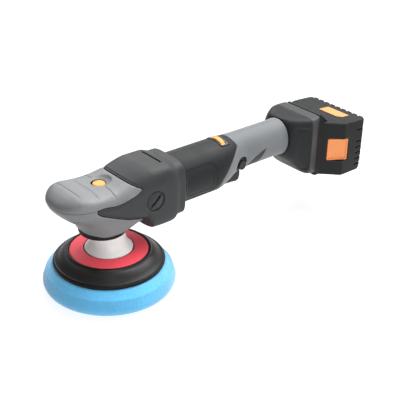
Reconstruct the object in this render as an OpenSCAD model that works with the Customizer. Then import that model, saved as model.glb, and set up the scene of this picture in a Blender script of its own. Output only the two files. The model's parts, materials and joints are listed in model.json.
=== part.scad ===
// Dual action polisher with a rear battery.
// Origin: the axis of the drive spindle on the plane of the pad's work face.
// +X runs from the head to the battery, +Z is up, millimetres.

/* [Orbit] */
// Offset of the output spindle from the drive spindle (half the throw)
orbit = 7.5; // [5:0.5:7.5]
// Radius of the foam pad
pad_r = 74.5; // [70:0.5:78]
// Radius of the backing plate
plate_r = 62.5; // [55:0.5:63]

/* [Drive] */
// Height of the motor axis
motor_z = 105; // [105:1:105]
// Teeth on the pinion
teeth_p = 10; // [10:1:10]
// Teeth on the ring gear
teeth_r = 30; // [30:1:30]

/* [Shells] */
// Wall of the moulded covers
wall = 2.6; // [2:0.1:2.8]
// Thickness of the soft grip
soft = 2.2; // [1.6:0.1:2.4]
// Points round each shell section
sn = 32; // [24:4:40]

/* [Battery] */
// Half width of the battery pack
pack_w = 47; // [46.5:0.5:49]
// Bottom of the battery pack
pack_z0 = 52.6; // [52:0.5:55]
// Top of the battery pack
pack_z1 = 124; // [123.5:0.5:127]

/* [Hidden] */
$fn = 48;
e = orbit;
mz = motor_z;
blue = "#4f7fc4"; black = "#2b2c2e"; red = "#c8384a"; silver = "#d6d6d4"; grey = "#8a8d90";
orange = "#f28c3c"; steel = "#9aa0a6"; alu = "#b9bdc1"; brass = "#c9a24a"; dark = "#1f2022";
copper = "#b5713a"; green = "#2f6b45";

// ---------- section shapes ----------
// A rounded section in the YZ plane: half width, top, bottom, middle height, roundness of the
// upper and of the lower half, and an inward offset.
function sec(w, zt, zb, zc, nt, nb, o) = [for (i = [0 : sn - 1])
  let (a = 360 * i / sn, c = cos(a), s = sin(a), n = s >= 0 ? nt : nb,
       h = s >= 0 ? zt - zc - o : zc - zb - o)
  [(w - o) * sign(c) * pow(abs(c), 2 / n), zc + h * sign(s) * pow(abs(s), 2 / n)]];
module slice(x, p) translate([x, 0, 0]) rotate([90, 0, 90]) linear_extrude(0.02) polygon(p);
// A chain of hulls through stations [x, w, zt, zb, zc, nt, nb]
module loft(st, o = 0) for (i = [0 : len(st) - 2]) hull() {
  slice(st[i][0], sec(st[i][1], st[i][2], st[i][3], st[i][4], st[i][5], st[i][6], o));
  slice(st[i + 1][0], sec(st[i + 1][1], st[i + 1][2], st[i + 1][3], st[i + 1][4], st[i + 1][5], st[i + 1][6], o));
}
// A prism along Y over a polygon in the XZ plane
module prism(p, y0 = -60, y1 = 60) translate([0, y1, 0]) rotate([90, 0, 0]) linear_extrude(y1 - y0) polygon(p);
// A cylinder along X, and one along Y
module xcyl(x0, x1, r, y = 0, z = mz) translate([x0, y, z]) rotate([0, 90, 0]) cylinder(r = r, h = x1 - x0);
module ycyl(y0, y1, r, x, z, n = 48) translate([x, y1, z]) rotate([90, 0, 0]) cylinder(r = r, h = y1 - y0, $fn = n);
module box(x0, x1, y0, y1, z0, z1) translate([x0, y0, z0]) cube([x1 - x0, y1 - y0, z1 - z0]);
// A ball bearing round Z: bore radius, outer radius, width
module bearing(ri, ro, w) {
  rm = (ri + ro) / 2; t = (ro - ri) * 0.24; b = (ro - ri) * 0.29; nb = floor(PI * rm / b * 0.8);
  difference() { cylinder(r = ri + t, h = w); translate([0, 0, -1]) cylinder(r = ri, h = w + 2);
    translate([0, 0, w / 2]) rotate_extrude() translate([rm, 0]) circle(b + 0.02); }
  difference() { cylinder(r = ro, h = w); translate([0, 0, -1]) cylinder(r = ro - t, h = w + 2);
    translate([0, 0, w / 2]) rotate_extrude() translate([rm, 0]) circle(b + 0.02); }
  for (i = [0 : nb - 1]) rotate([0, 0, 360 * i / nb]) translate([rm, 0, w / 2]) sphere(b);
}
// A coil spring round Z
function ringpt(r, wr, z, a, k) = [(r + wr * cos(k)) * cos(a), (r + wr * cos(k)) * sin(a), z + wr * sin(k)];
module coil(r, wr, pitch, turns) {
  m = 6; n = turns * 16;
  pts = [for (i = [0 : n]) for (k = [0 : m - 1]) ringpt(r, wr, pitch * i / 16, 360 * i / 16, 360 * k / m)];
  polyhedron(points = pts, faces = concat(
    [for (i = [0 : n - 1]) for (k = [0 : m - 1]) let (k2 = (k + 1) % m) [i * m + k, i * m + k2, (i + 1) * m + k]],
    [for (i = [0 : n - 1]) for (k = [0 : m - 1]) let (k2 = (k + 1) % m) [i * m + k2, (i + 1) * m + k2, (i + 1) * m + k]],
    [[for (k = [m - 1 : -1 : 0]) k]], [[for (k = [0 : m - 1]) n * m + k]]));
}

// Head and front housing, one outer form
function nose_w(x) = x < -31 ? 35 * sqrt(1 - pow((x + 31) / 32.3, 2)) : 35;
function nose_t(x) = lookup(x, [[-63, 121.6], [-62, 123.8], [-60, 126], [-56, 128.3], [-50, 130.6], [-43, 132], [-35, 132.3], [-25, 131.2], [-12, 130.3], [0, 130.8], [12, 132.8], [22, 135], [36, 138.4]]);
function nose_b(x) = lookup(x, [[-63, 117], [-62, 115.5], [-60, 112.5], [-56, 108], [-50, 102.5], [-43, 97], [-31, 91], [-15, 86], [0, 82], [20, 80], [36, 79]]);
function nose_c(x) = lookup(x, [[-63, 119.5], [-40, 118.5], [-15, 114], [0, 111], [20, 107], [36, 105]]);
function nose_n(x) = lookup(x, [[-63, 2.2], [-56, 2.7], [-45, 3.4], [-20, 3.3], [20, 3.3], [36, 3.9]]);
HEAD = [for (x = [-63, -62, -60, -56, -50, -43, -35, -25, -12, 0, 12, 22, 36])
  [x, nose_w(x), nose_t(x), nose_b(x), nose_c(x), nose_n(x), 2.2 + (x > 0 ? x / 36 : 0)]];
BLOCK = [[36, 35, 138.4, 79, 105, 3.9, 3.2], [42, 35, 139.5, 71, 105, 4.1, 4.2], [47, 35, 140, 67, 105, 4.3, 5],
  [70, 34.8, 139.8, 66, 105, 4.4, 5.2], [76, 34.6, 137.9, 67, 105, 4.2, 5.2], [80, 33.6, 136.9, 70.6, 105, 4, 5.4],
  [84, 33, 137, 71.8, 105, 4, 5.5], [90.5, 32.9, 137, 72, 105, 4, 5.6]];
module neck(o) hull() {
  translate([0, 0, 75.2 - (o > 0 ? 1 : 0)]) cylinder(r = 26.8 - o, h = 1);
  for (x = [-31, -13, 9]) slice(x, sec(nose_w(x) - 0.1, nose_c(x) + 4, nose_b(x), nose_c(x), 2.4, 2.2 + (x > 0 ? x / 36 : 0), o));
  slice(36, sec(34, 112, 79, 105, 3, 3.2, o));
}
module head_form(o = 0) { loft(HEAD, o); neck(o); loft(BLOCK, o); }
// Side outline of the black housing: top edge, horn, lower edge
HORN = [[18, 160], [18, 132.5], [24, 128.5], [31, 124], [22, 119.6], [10, 117], [-4, 116], [-22, 118.4], [-27, 117.6], [-28, 115.4], [-25, 111.6], [-13, 105], [0, 98.6], [13, 92.6], [33, 86], [36, 81], [37, 50], [110, 50], [110, 160]];
module horn_cut(g = 0) translate([0, 60, 0]) rotate([90, 0, 0]) linear_extrude(120) offset(delta = g) polygon(HORN);
SEAM = 118.6;
// Flange of the gear case and its screws
FX = 38.5;
FLANGE = [for (y = [-20, 20]) for (z = [-14, 18.5]) [y, z]];

// Handle: tube, grip and battery foot
TUBE = [[88, 30.3, 134.3, 73.7, 104, 2, 2], [148, 30.3, 134.3, 73.7, 104, 2, 2], [158, 29, 134.5, 75.6, 105.2, 2, 2],
  [168, 26.4, 134.6, 79.8, 107.4, 2, 2], [180, 22.8, 134.4, 85.4, 110.2, 2.05, 2.05], [195, 20.4, 134.2, 88.6, 111.4, 2.1, 2.1],
  [250, 20.4, 134.2, 88.6, 111.4, 2.1, 2.1], [261.5, 21, 134.6, 87.8, 111.2, 2.1, 2.1]];
FOOT = [[261.5, 22.2, 135, 86.8, 111, 2.2, 2.2], [266, 26.8, 136.2, 82, 110, 2.8, 2.6], [274, 31.8, 137, 75, 106, 5, 3.4],
  [283, 33.8, 137.2, 65.4, 102, 8, 5], [289, 35, 137.1, 60.6, 101, 9, 6.4], [292.5, 35.3, 137, 59.4, 101, 9.4, 7], [297, 34.2, 136.9, 59, 101, 9.6, 7.4], [304, 31.6, 136.8, 59.2, 101, 9.8, 7.6]];
module handle_form(o = 0) { loft(TUBE, o); loft(FOOT, o); }
// Room inside: wider in the tube and the foot, narrower under the soft grip
ROOM = concat([[88, 30.3 - wall, 134.3 - wall, 73.7 + wall, 104, 2, 2], [145.8, 30.6 - wall, 134.6 - wall, 73.4 + wall, 104, 2, 2], [150.2, 26.2, 130.2, 77.8, 104, 2, 2]],
  [for (s = TUBE) if (s[0] > 150) let (o = s[0] < 160 ? 4.4 : soft + wall - 0.2) [s[0], s[1] - o, s[2] - o, s[3] + o, s[4], s[5], s[6]]]);
ROOM2 = [for (s = FOOT) let (o = s[0] < 268 ? 4.6 : wall) [s[0] > 300 ? 301.4 : s[0], s[1] - o, s[2] - o, s[3] + o, s[4], s[5], s[6]]];
module room() { translate([-0.1, 0, 0]) loft(ROOM); loft(ROOM2); loft([[260.6, 16.2, 129.8, 92.6, 111.2, 2.1, 2.1], [262.4, 16.1, 129.7, 92.7, 111.2, 2.1, 2.1]]); }
GREY = [[176.6, 160], [176.6, 133.4], [179.4, 127.4], [178.4, 125.4], [171.5, 119.6], [160, 109.6], [154, 103.2], [149, 96.4], [147.6, 90], [147.6, 60], [261.4, 60], [261.4, 160]];
module half(s) translate([0, s > 0 ? -0.03 : -79.97, 0]) cube([420, 80, 200]);
SCREWS = [[201, 127], [257, 122], [257, 103], [289, 82], [289, 126]];
module bosses() for (p = SCREWS) ycyl(-50, 50, 3.8, p[0], p[1], 20);
module openings() {
  translate([159.5, 0, 117.2]) rotate([0, 90, 0]) cylinder(r = 19.5, h = 7.8, $fn = 48);  // thumbwheel
  box(163.4, 195.4, -9.7, 9.7, 60, 95);                        // trigger
  ycyl(-12.5, 12.5, 1.53, 168, 87.4, 20);                    // trigger pin
  ycyl(-60, -8, 6, 186.2, 100.8, 28);                          // lock button
  for (p = SCREWS) { ycyl(-9, 30, 1.55, p[0], p[1], 16); ycyl(9.4, 60, 3.1, p[0], p[1], 20); }
  box(301, 305, -17.4, 17.4, 69.6, 112.4);                   // rail
  for (s = [-1, 1]) box(300.2, 306, s > 0 ? 26.6 : -40, s > 0 ? 40 : -26.6, 40, 129.6);   // gap before the battery's shoulders
}
module handle_half(s) difference() {
  union() { difference() { handle_form(); room(); } intersection() { bosses(); handle_form(1); } }
  difference() { prism(GREY); handle_form(soft + 0.05); }
  openings();
  bezel_shape(0.06);
  half(-s);
}
module grip_half(s) difference() {
  intersection() { handle_form(); prism([for (p = GREY) [p[0] + (p[0] < 200 ? 0.12 : -0.1), p[1]]]); }
  handle_form(soft);
  openings(); inlay_cut(0.1);
  ycyl(-60, -8, 9.4, 185, 103, 36);
  half(-s);
}
INLAY = [[224.6, 112.2], [213, 107.9], [205.7, 103.6], [200.2, 97.6], [199, 93.6], [212.6, 92], [216.2, 96.6], [219.6, 103]];
module inlay_cut(g = 0) for (s = [-1, 1]) translate([0, s > 0 ? 40 : 0, 0]) rotate([90, 0, 0]) linear_extrude(40) offset(delta = g) polygon(INLAY);
module bezel_shape(g = 0) intersection() {
  box(157.2 - g, 170.4 + g, -14.6 - g, 14.6 + g, 120, 150);
  difference() { handle_form(-0.5); handle_form(1.4 + g); }
}

// ---------- pad and plate ----------
module foam_pad() color(blue) translate([e, 0, 0]) rotate_extrude($fn = 96) polygon([[0, 0], [pad_r - 10.5, 0], [pad_r - 7, 1.1], [pad_r - 3.8, 3.5], [pad_r - 1, 7.2], [pad_r, 10.6], [pad_r - 0.5, 13], [pad_r - 3.6, 19], [plate_r + 3, 26.4], [plate_r + 1.6, 28.6], [plate_r, 29.3], [0, 29.3]]);
module hook_face() color(dark) translate([e, 0, 29.35]) difference() { cylinder(r = plate_r - 0.8, h = 1.05, $fn = 96); translate([0, 0, -1]) cylinder(r = 9, h = 4); }
module backing_plate() color(black) translate([e, 0, 0]) rotate_extrude($fn = 96) polygon([[4.3, 36.5], [7.2, 36.5], [7.2, 30.45], [plate_r - 0.6, 30.45], [plate_r, 31], [plate_r, 33.2], [plate_r - 1.2, 34.4], [58, 36.4], [53, 40.2], [48.5, 43.2], [45.4, 45], [44.05, 45], [44.05, 43.7], [27.1, 46.3], [4.3, 46.3]]);
module plate_ring() color(red) translate([e, 0, 0]) rotate_extrude($fn = 96) polygon([[27.1, 46.35], [44, 43.75], [44, 45.05], [27.1, 47.65]]);
module plate_hub() color(silver) translate([e, 0, 0]) rotate_extrude($fn = 96) polygon([[8.02, 46.35], [27.05, 46.35], [27.05, 48], [26.4, 48.7], [23.8, 51], [21.4, 54], [19.7, 57.6], [18.5, 62], [18, 69], [17.4, 69.5], [15.5, 69.5], [15.5, 59.6], [14.5, 58.6], [8.02, 58.6]]);
module plate_bolt() color(steel) translate([e, 0, 0]) difference() {
  union() { translate([0, 0, 30.5]) cylinder(r = 6.5, h = 6); translate([0, 0, 36.4]) cylinder(r = 4, h = 20); }
  translate([0, 0, 30]) cylinder(r = 3.5, h = 4, $fn = 6);
}
module output_spindle() color(steel) translate([e, 0, 0]) difference() {
  union() { translate([0, 0, 46.4]) cylinder(r = 8, h = 12.4); translate([0, 0, 58.65]) cylinder(r = 10, h = 1.75); translate([0, 0, 58.7]) cylinder(r = 5.96, h = 15.4); }
  translate([0, 0, 46]) cylinder(r = 4.02, h = 12);
}

// ---------- eccentric drive ----------
module eccentric_bearings() color(steel) translate([e, 0, 0]) { translate([0, 0, 61.4]) bearing(6, 12, 6); translate([0, 0, 68]) bearing(6, 12, 6); }
module drive_spindle() color(steel) difference() {
  union() {
    translate([e, 0, 61]) cylinder(r = 14.6, h = 14);
    translate([0, 0, 74.5]) cylinder(r = 22, h = 2.5);
    translate([0, 0, 76.9]) cylinder(r = 10.4, h = 2.6);
    translate([0, 0, 79.4]) cylinder(r = 8.46, h = 10.55);
    translate([0, 0, 89.9]) cylinder(r = 7, h = 6.7);
    translate([0, 0, 96.5]) cylinder(r = 4.96, h = 22.5);
  }
  translate([e, 0, 60]) cylinder(r = 12, h = 14.2);
  box(-1.6, 1.6, -9, 9, 116.5, 120);
}
module counterweight() color(steel) difference() {
  intersection() { translate([0, 0, 70.4]) cylinder(r = 22.9, h = 4.05); box(-30, -2, -30, 30, 60, 80); }
  translate([e, 0, 60]) cylinder(r = 14.65, h = 20);
}
// Bevel gears: points on cones with a common apex at the crossing of the two axes
mod = 1.5; Ro = 1.5 * sqrt(teeth_p * teeth_p + teeth_r * teeth_r) / 2; Ri = Ro - 7;
d1 = atan(teeth_p / teeth_r); d2 = 90 - d1;
ad = atan(1.25 / Ro); dd = atan(1.75 / Ro);
function cp(R, g, a) = [R * sin(g) * cos(a), R * sin(g) * sin(a), R * cos(g)];
module bevel_tooth(d) {
  // half thickness at root and tip as lengths at the outer end, turned into angles
  ar = 1.42 / (Ro * sin(d - dd)) * 180 / PI; at = 0.34 / (Ro * sin(d + ad)) * 180 / PI;
  gr = d - dd - 1.6; gt = d + ad;
  polyhedron(points = [for (R = [Ro, Ri]) each [cp(R, gr, -ar), cp(R, gt, -at), cp(R, gt, at), cp(R, gr, ar)]],
    faces = [[0, 2, 1], [0, 3, 2], [4, 5, 6], [4, 6, 7], [0, 1, 5], [0, 5, 4], [1, 2, 6], [1, 6, 5], [2, 3, 7], [2, 7, 6], [3, 0, 4], [3, 4, 7]]);
}
module ring_gear() color(steel) translate([0, 0, mz]) mirror([0, 0, 1]) {
  g = d2 - dd;
  rotate_extrude() polygon([[7.02, 15], [20.4, 15], [Ro * sin(g), 13.2], [Ro * sin(g), Ro * cos(g)], [Ri * sin(g), Ri * cos(g)], [13.4, 8.5], [7.02, 8.5]]);
  for (i = [0 : teeth_r - 1]) rotate([0, 0, 360 * (i + 0.5) / teeth_r]) bevel_tooth(d2);
}
module pinion_gear() color(steel) translate([0, 0, mz]) rotate([0, 90, 0]) {
  g = d1 - dd;
  rotate_extrude() polygon([[3.02, Ri * cos(g)], [Ri * sin(g), Ri * cos(g)], [Ro * sin(g), Ro * cos(g)], [Ro * sin(g), 24.6], [3.02, 24.6]]);
  for (i = [0 : teeth_p - 1]) rotate([0, 0, 360 * i / teeth_p]) bevel_tooth(d1);
}

// ---------- gear case ----------
module gear_case() color(alu) difference() {
  union() {
    translate([0, 0, 79.6]) cylinder(r = 21.5, h = 12);
    translate([0, 0, 88.5]) cylinder(r = 27.4, h = 21.5);
    translate([0, 0, 109]) cylinder(r = 17, h = 11);
    xcyl(0, FX + 0.1, 22);
    box(FX, FX + 3.5, -25, 25, mz - 18.5, mz + 23);
    translate([-3, 0, 119]) cylinder(r = 5.6, h = 6.4);
  }
  translate([0, 0, 79]) cylinder(r = 17.5, h = 10.6);
  translate([0, 0, 89.4]) cylinder(r = 24.4, h = 18.6);
  translate([0, 0, 107]) cylinder(r = 8, h = 4);
  translate([0, 0, 109.5]) cylinder(r = 13, h = 8.05);
  translate([0, 0, 117]) cylinder(r = 6, h = 2.6);
  translate([-3, 0, 119]) cylinder(r = 3.05, h = 10);
  translate([-3, 0, 123.4]) cylinder(r = 4.7, h = 5);
  translate([-3, 0, 123.2]) difference() { cylinder(r = 7.7, h = 6); translate([0, 0, -1]) cylinder(r = 5.6, h = 8); }
  translate([-3, 0, 125.4]) cylinder(r = 7.7, h = 4);
  xcyl(5, 28, 10.6); xcyl(27, 35.05, 13); xcyl(35, 43, 12);
  for (p = FLANGE) xcyl(FX - 1, FX + 5, 2.05, p[0], mz + p[1]);
  for (a = [45 : 90 : 315]) rotate([0, 0, a]) translate([19.5, 0, 79]) cylinder(r = 1.25, h = 7);
}
module bearing_retainer() color(steel) difference() {
  translate([0, 0, 77.6]) cylinder(r = 21.5, h = 1.95); translate([0, 0, 77]) cylinder(r = 12, h = 4);
  for (a = [45 : 90 : 315]) rotate([0, 0, a]) translate([19.5, 0, 77]) cylinder(r = 1.3, h = 4);
  for (a = [45 : 90 : 315]) rotate([0, 0, a]) translate([19.5, 0, 77]) cylinder(r = 1.95, h = 1.6);
}
module retainer_screws() color(dark) for (a = [45 : 90 : 315]) rotate([0, 0, a]) translate([19.5, 0, 0]) difference() {
  union() { translate([0, 0, 77.5]) cylinder(r = 1.9, h = 1.05); translate([0, 0, 78.5]) cylinder(r = 1.2, h = 6.5); }
  translate([-0.3, -1.2, 77]) cube([0.6, 2.4, 0.9]);
}
module spindle_lower_bearing() color(steel) translate([0, 0, 79.6]) bearing(8.5, 17.5, 10);
module spindle_upper_bearing() color(steel) translate([0, 0, 109.5]) bearing(5, 13, 8);
module pinion_bearing() color(steel) translate([27, 0, mz]) rotate([0, 90, 0]) bearing(5, 13, 8);

// ---------- motor ----------
module rotor_shaft() color(steel) { xcyl(15.8, 24.7, 3); xcyl(24.6, 35.6, 4.96); xcyl(35.5, 134, 6); xcyl(133.9, 145.5, 5); xcyl(145.4, 153.4, 3.96); }
module rotor_core() color(dark) difference() {
  xcyl(94, 130, 13); xcyl(93, 131, 6.02);
  for (i = [0 : 3]) translate([0, 0, mz]) rotate([45 + 90 * i, 0, 0]) translate([93, -5, 9.6]) cube([38, 10, 2]);
}
module cooling_fan() color(dark) difference() {
  union() { xcyl(56, 70, 9); xcyl(56, 57.6, 25);
    for (i = [0 : 10]) translate([0, 0, mz]) rotate([360 * i / 11, 0, 0]) translate([57.4, -0.8, 8]) cube([11, 1.6, 17]); }
  xcyl(55, 71, 6.02);
}
module stator_core() color(steel) difference() {
  union() {
    difference() { xcyl(94, 130, 26.4); xcyl(93, 131, 22.6); }
    for (i = [0 : 5]) translate([0, 0, mz]) rotate([60 * i, 0, 0]) { box(94, 130, -4, 4, 12.6, 24); box(94, 130, -6, 6, 12.2, 15.6); }
  }
  xcyl(93, 131, 13.6);
}
module stator_windings() color(copper) for (i = [0 : 5]) translate([0, 0, mz]) rotate([60 * i, 0, 0]) difference() {
  translate([91, -6.4, 16.2]) cube([42, 12.8, 5.2]);
  translate([93.8, -4.15, 15]) cube([36.4, 8.3, 8]);
}
module motor_rear_bracket() color(black) difference() {
  union() { xcyl(142, 145, 26.5); xcyl(144.9, 153.2, 13.4); }
  xcyl(141, 150, 7); xcyl(146, 153.3, 11);
  for (i = [0 : 5]) translate([0, 0, mz]) rotate([30 + 60 * i, 0, 0]) translate([141, 0, 20.5]) rotate([0, 90, 0]) cylinder(r = 4.2, h = 5);
}
module motor_rear_bearing() color(steel) translate([146, 0, mz]) rotate([0, 90, 0]) bearing(4, 11, 7);

// ---------- covers of the head ----------
module cover_shell() difference() {
  head_form(); head_form(wall + 0.2); horn_cut(0.12);
  translate([-3, 0, 118]) cylinder(r = 7.6, h = 30);
  translate([0, 0, 60]) cylinder(r = 23.6, h = 20);
}
module head_cover() color(grey) intersection() { cover_shell(); translate([-80, -50, SEAM + 0.06]) cube([160, 100, 60]); }
module head_lower_cover() color(grey) intersection() { cover_shell(); translate([-80, -50, 75.2]) cube([160, 100, SEAM - 75.26]); }
module head_skirt() color(dark) rotate_extrude($fn = 96) polygon([[23.6, 71.5], [25.6, 71.5], [26.3, 72.4], [26.7, 75.15], [23.6, 75.15]]);
module front_housing() color(black) difference() {
  intersection() {
    union() { difference() { head_form(); head_form(wall + 0.2); } intersection() { head_form(1.3); box(FX + 3.55, FX + 6.2, -40, 40, 60, 150); } }
    horn_cut();
  }
  xcyl(86, 95, 30.6, 0, 104);
  xcyl(FX, FX + 10, 17);
  box(64.6, 68.4, -18, 18, 130, 150);
  for (s = [-1, 1]) { ycyl(s > 0 ? 31 : -50, s > 0 ? 50 : -31, 11, 47.5, 105, 32); ycyl(s > 0 ? 20 : -50, s > 0 ? 50 : -20, 6.6, 47.5, 105, 32); }
  for (p = FLANGE) xcyl(FX, FX + 10, 2.1, p[0], mz + p[1]);
}
module side_plugs() color(black) for (s = [-1, 1]) translate([47.5, 0, 105]) rotate([s > 0 ? -90 : 90, 0, 0]) difference() {
  union() { translate([0, 0, 32.3]) cylinder(r = 10.8, h = 2.8); translate([0, 0, 26.6]) cylinder(r = 6.4, h = 5.8); }
  rotate([0, 0, s > 0 ? 48 : -48]) translate([-1.5, -12, 33.2]) cube([3, 24, 3]);
}
module housing_screws() color(dark) for (p = FLANGE) difference() {
  union() { xcyl(FX - 0.6, FX + 6.4, 2, p[0], mz + p[1]); xcyl(FX + 6.25, FX + 9.4, 3.5, p[0], mz + p[1]); }
  translate([FX + 7.8, p[0], mz + p[1]]) rotate([0, 90, 0]) cylinder(r = 1.7, h = 3, $fn = 6);
}

// ---------- spindle lock ----------
module spindle_lock_button() color(orange) translate([-3, 0, 0]) difference() {
  union() { translate([0, 0, 126.8]) cylinder(r = 7.25, h = 2.4); translate([0, 0, 129.1]) cylinder(r1 = 7.25, r2 = 6.5, h = 0.7); }
  translate([0, 0, 126]) cylinder(r = 6.3, h = 2.6);
}
module spindle_lock_pin() color(steel) translate([-3, 0, 122.4]) cylinder(r = 3, h = 6.15);
module spindle_lock_spring() color(steel) translate([-3, 0, 123.75]) coil(3.85, 0.3, 2.25, 2);

// ---------- handle ----------
module handle_left() color(black) handle_half(-1);
module handle_right() color(black) handle_half(1);
module grip_left() color(grey) grip_half(-1);
module grip_right() color(grey) grip_half(1);
module grip_inlays() color(dark) difference() { intersection() { handle_form(); inlay_cut(); } handle_form(soft - 0.1); half_gap(); }
module half_gap() translate([150, -5, 60]) cube([120, 10, 90]);
module handle_screws() color(dark) for (p = SCREWS) difference() {
  union() { ycyl(-8.6, 9.5, 1.5, p[0], p[1]); ycyl(9.45, 11.6, 2.9, p[0], p[1]); }
  translate([p[0] - 1.9, 10.6, p[1] - 0.4]) cube([3.8, 2, 0.8]);
  translate([p[0] - 0.4, 10.6, p[1] - 1.9]) cube([0.8, 2, 3.8]);
}
module dial_bezel() color(grey) difference() { bezel_shape(); translate([159.6, 0, 117.2]) rotate([0, 90, 0]) cylinder(r = 19.4, h = 7.6, $fn = 48); }
module speed_dial() color(orange) difference() {
  union() { xcyl(160.2, 166.6, 18.4, 0, 117.2); for (i = [0 : 35]) translate([0, 0, 117.2]) rotate([10 * i, 0, 0]) translate([160.2, -0.7, 18]) cube([6.4, 1.4, 0.8]); }
  xcyl(156, 161.6, 15.4, 0, 117.2); xcyl(156, 170, 2.55, 0, 117.2);
}
module speed_control() color(green) { xcyl(158.4, 168.3, 2.5, 0, 117.2); box(168.2, 175, -8, 8, 112.2, 126); }
TRIG = [[164, 78.6], [168, 76], [174, 75], [182, 74.8], [188.6, 73.8], [192.8, 75.8], [194.2, 80.6], [193.6, 89.8], [190.6, 91.4], [166, 91.4], [164.2, 87.4]];
module trigger() color(black) difference() {
  union() { prism(TRIG, -9, 9); translate([181, 0, 90.8]) cylinder(r = 2.4, h = 7); }
  ycyl(-20, 20, 1.56, 168, 87.4);
}
module trigger_pin() color(steel) ycyl(-12.4, 12.4, 1.5, 168, 87.4);
module switch_body() color(dark) difference() { box(171, 199, -8.5, 8.5, 96.6, 112); translate([180.6, 0, 95]) cylinder(r = 4.4, h = 9); }
module lock_button() color(dark) union() { ycyl(-21.4, -13, 5.5, 186.2, 100.8); ycyl(-22, -21.3, 4.9, 186.2, 100.8); }
module control_module() color(green) { box(206, 250, -10.5, 10.5, 102, 122); for (i = [0 : 5]) box(210 + 6.5 * i, 213 + 6.5 * i, -6, 6, 121.9, 126); }
// A wire along points
module wire(p, r) for (i = [0 : len(p) - 2]) hull() { translate(p[i]) sphere(r, $fn = 8); translate(p[i + 1]) sphere(r, $fn = 8); }
module wiring() color(red) {
  for (y = [-4, 0, 4]) xcyl(199, 206, 1.2, y, 104);
  for (y = [-6, 6]) xcyl(250, 297, 1.5, y, 110);
  wire([[127, 10.2, 87.2], [150, 10.2, 87.2], [160, 17, 94], [170, 14.2, 98.8], [200, 11, 101.4], [204.6, 9.5, 103]], 1.2);
  wire([[127, 20.5, 105], [150, 20.5, 105], [160, 19.4, 102], [170, 16, 102.6], [200, 11.8, 104.6], [204.6, 9.5, 106.5]], 1.2);
  wire([[127, 10.2, 122.8], [147, 10.2, 122.8], [154, 21, 112], [168, 18, 106.5], [200, 13, 108], [204.6, 9.5, 110]], 1.2);
}
module terminal_block() color(dark) difference() {
  union() { box(297, 301.3, -22, 22, 69, 115); box(301.2, 309.1, -17, 17, 70, 112); box(309, 313, -22, 22, 70, 112); }
  for (y = [-12, 0, 12]) box(303, 314, y - 0.52, y + 0.52, 92, 108);
}
module terminal_blades() color(brass) for (y = [-12, 0, 12]) box(303.1, 321, y - 0.5, y + 0.5, 92.2, 107.8);

// ---------- battery ----------
W = pack_w; Z0 = pack_z0; Z1 = pack_z1;
PF = [[306.5, -27], [314, -27], [W + 287, -W], [337, -W], [337, W], [W + 287, W], [314, 27], [306.5, 27]];
PFI = [[308.2, -25.3], [314.6, -25.3], [W + 287.7, -W + 1.6], [338, -W + 1.6], [338, W - 1.6], [W + 287.7, W - 1.6], [314.6, 25.3], [308.2, 25.3]];
module zprism(p, z0, z1) translate([0, 0, z0]) linear_extrude(z1 - z0) polygon(p);
module battery_front_case() color(black) difference() {
  union() { difference() { zprism(PF, Z0, Z1); zprism(PFI, Z0 + 2.2, Z1 - 2.2); }
    box(307, 323.5, -25, 25, Z0 + 0.5, 119);
    prism([[305, Z1 - 2], [305, 136], [305.9, 136.8], [308.4, 136.8], [323, Z1 - 0.4], [323, Z1 - 2]], -27.6, 27.6); }
  box(308.6, 313.4, -22.4, 22.4, Z0 - 1, 112.5); box(305, 309, -17.4, 17.4, Z0 - 1, 112.5);
  for (y = [-12, 0, 12]) box(313, 322, y - 1, y + 1, Z0 - 1, 109);
  for (s = [-1, 1]) notch(s) translate([0, -3.2, 72.6]) cube([NL, 12, 29.8]);
  for (y = [-40, 40]) for (z = [Z0 + 8, Z1 - 8]) xcyl(330, 340, 1.5, y, z);
}
// Frame of a shoulder: X runs back along the face, Y points out of it
module shoulder(s) translate([314, s * 27, 0]) mirror([0, s > 0 ? 0 : 1, 0]) rotate([0, 0, 45]) children();
// Frame of the notch across the shoulder's rear corner, in the same sense, and its length
NA = [319.4, 32.4]; NB = [342.4, W]; NL = norm(NB - NA);
module notch(s) translate([NA[0], s * NA[1], 0]) mirror([0, s > 0 ? 0 : 1, 0]) rotate([0, 0, atan2(NB[1] - NA[1], NB[0] - NA[0])]) children();
RC = [[337.05, -W], [368.2, -W], [370.8, -W + 2.6], [370.8, W - 2.6], [368.2, W], [337.05, W]];
RS = [[330, Z0], [364.6, Z0], [367.8, Z0 + 4], [370.9, Z0 + 22], [370.9, Z1 - 1.2], [369.6, Z1], [330, Z1]];
module battery_rear_case() color(black) difference() {
  union() {
    difference() {
      intersection() { zprism(RC, Z0, Z1); prism(RS); }
      intersection() { zprism([[336, -W + 1.6], [367.4, -W + 1.6], [369.2, -W + 3.4], [369.2, W - 3.4], [367.4, W - 1.6], [336, W - 1.6]], Z0 + 2.2, Z1 - 2.2); prism([for (p = RS) [p[0] - 1.6, p[1]]]); }
    }
    intersection() { zprism(RC, Z0, Z1); for (s = [-1, 1]) notch(s) for (z = [70, 102.4]) translate([NL - 1.8, -1.3, z]) cylinder(r = 2.4, h = 2.6); }
  }
  for (s = [-1, 1]) notch(s) { translate([0, -3.2, 72.6]) cube([NL, 12, 29.8]); translate([NL - 1.8, -1.3, 70.6]) cylinder(r = 0.65, h = 33.8); }
  for (s = [-1, 1]) for (z = [62, 70, 78, 86, 94, 110]) box(359, 374, s * W - 0.9, s * W + 0.9, z - 0.7, z + 0.7);
}
module battery_bumper() color(dark) {
  box(370.85, 371.4, -W + 4, W - 4, Z0 + 23, Z1 - 1.6);
  for (y = [-4 : 4]) box(371.3, 372.6, 9.6 * y - 3.4, 9.6 * y + 3.4, Z0 + 23.4, Z1 - 0.4);
}
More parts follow.
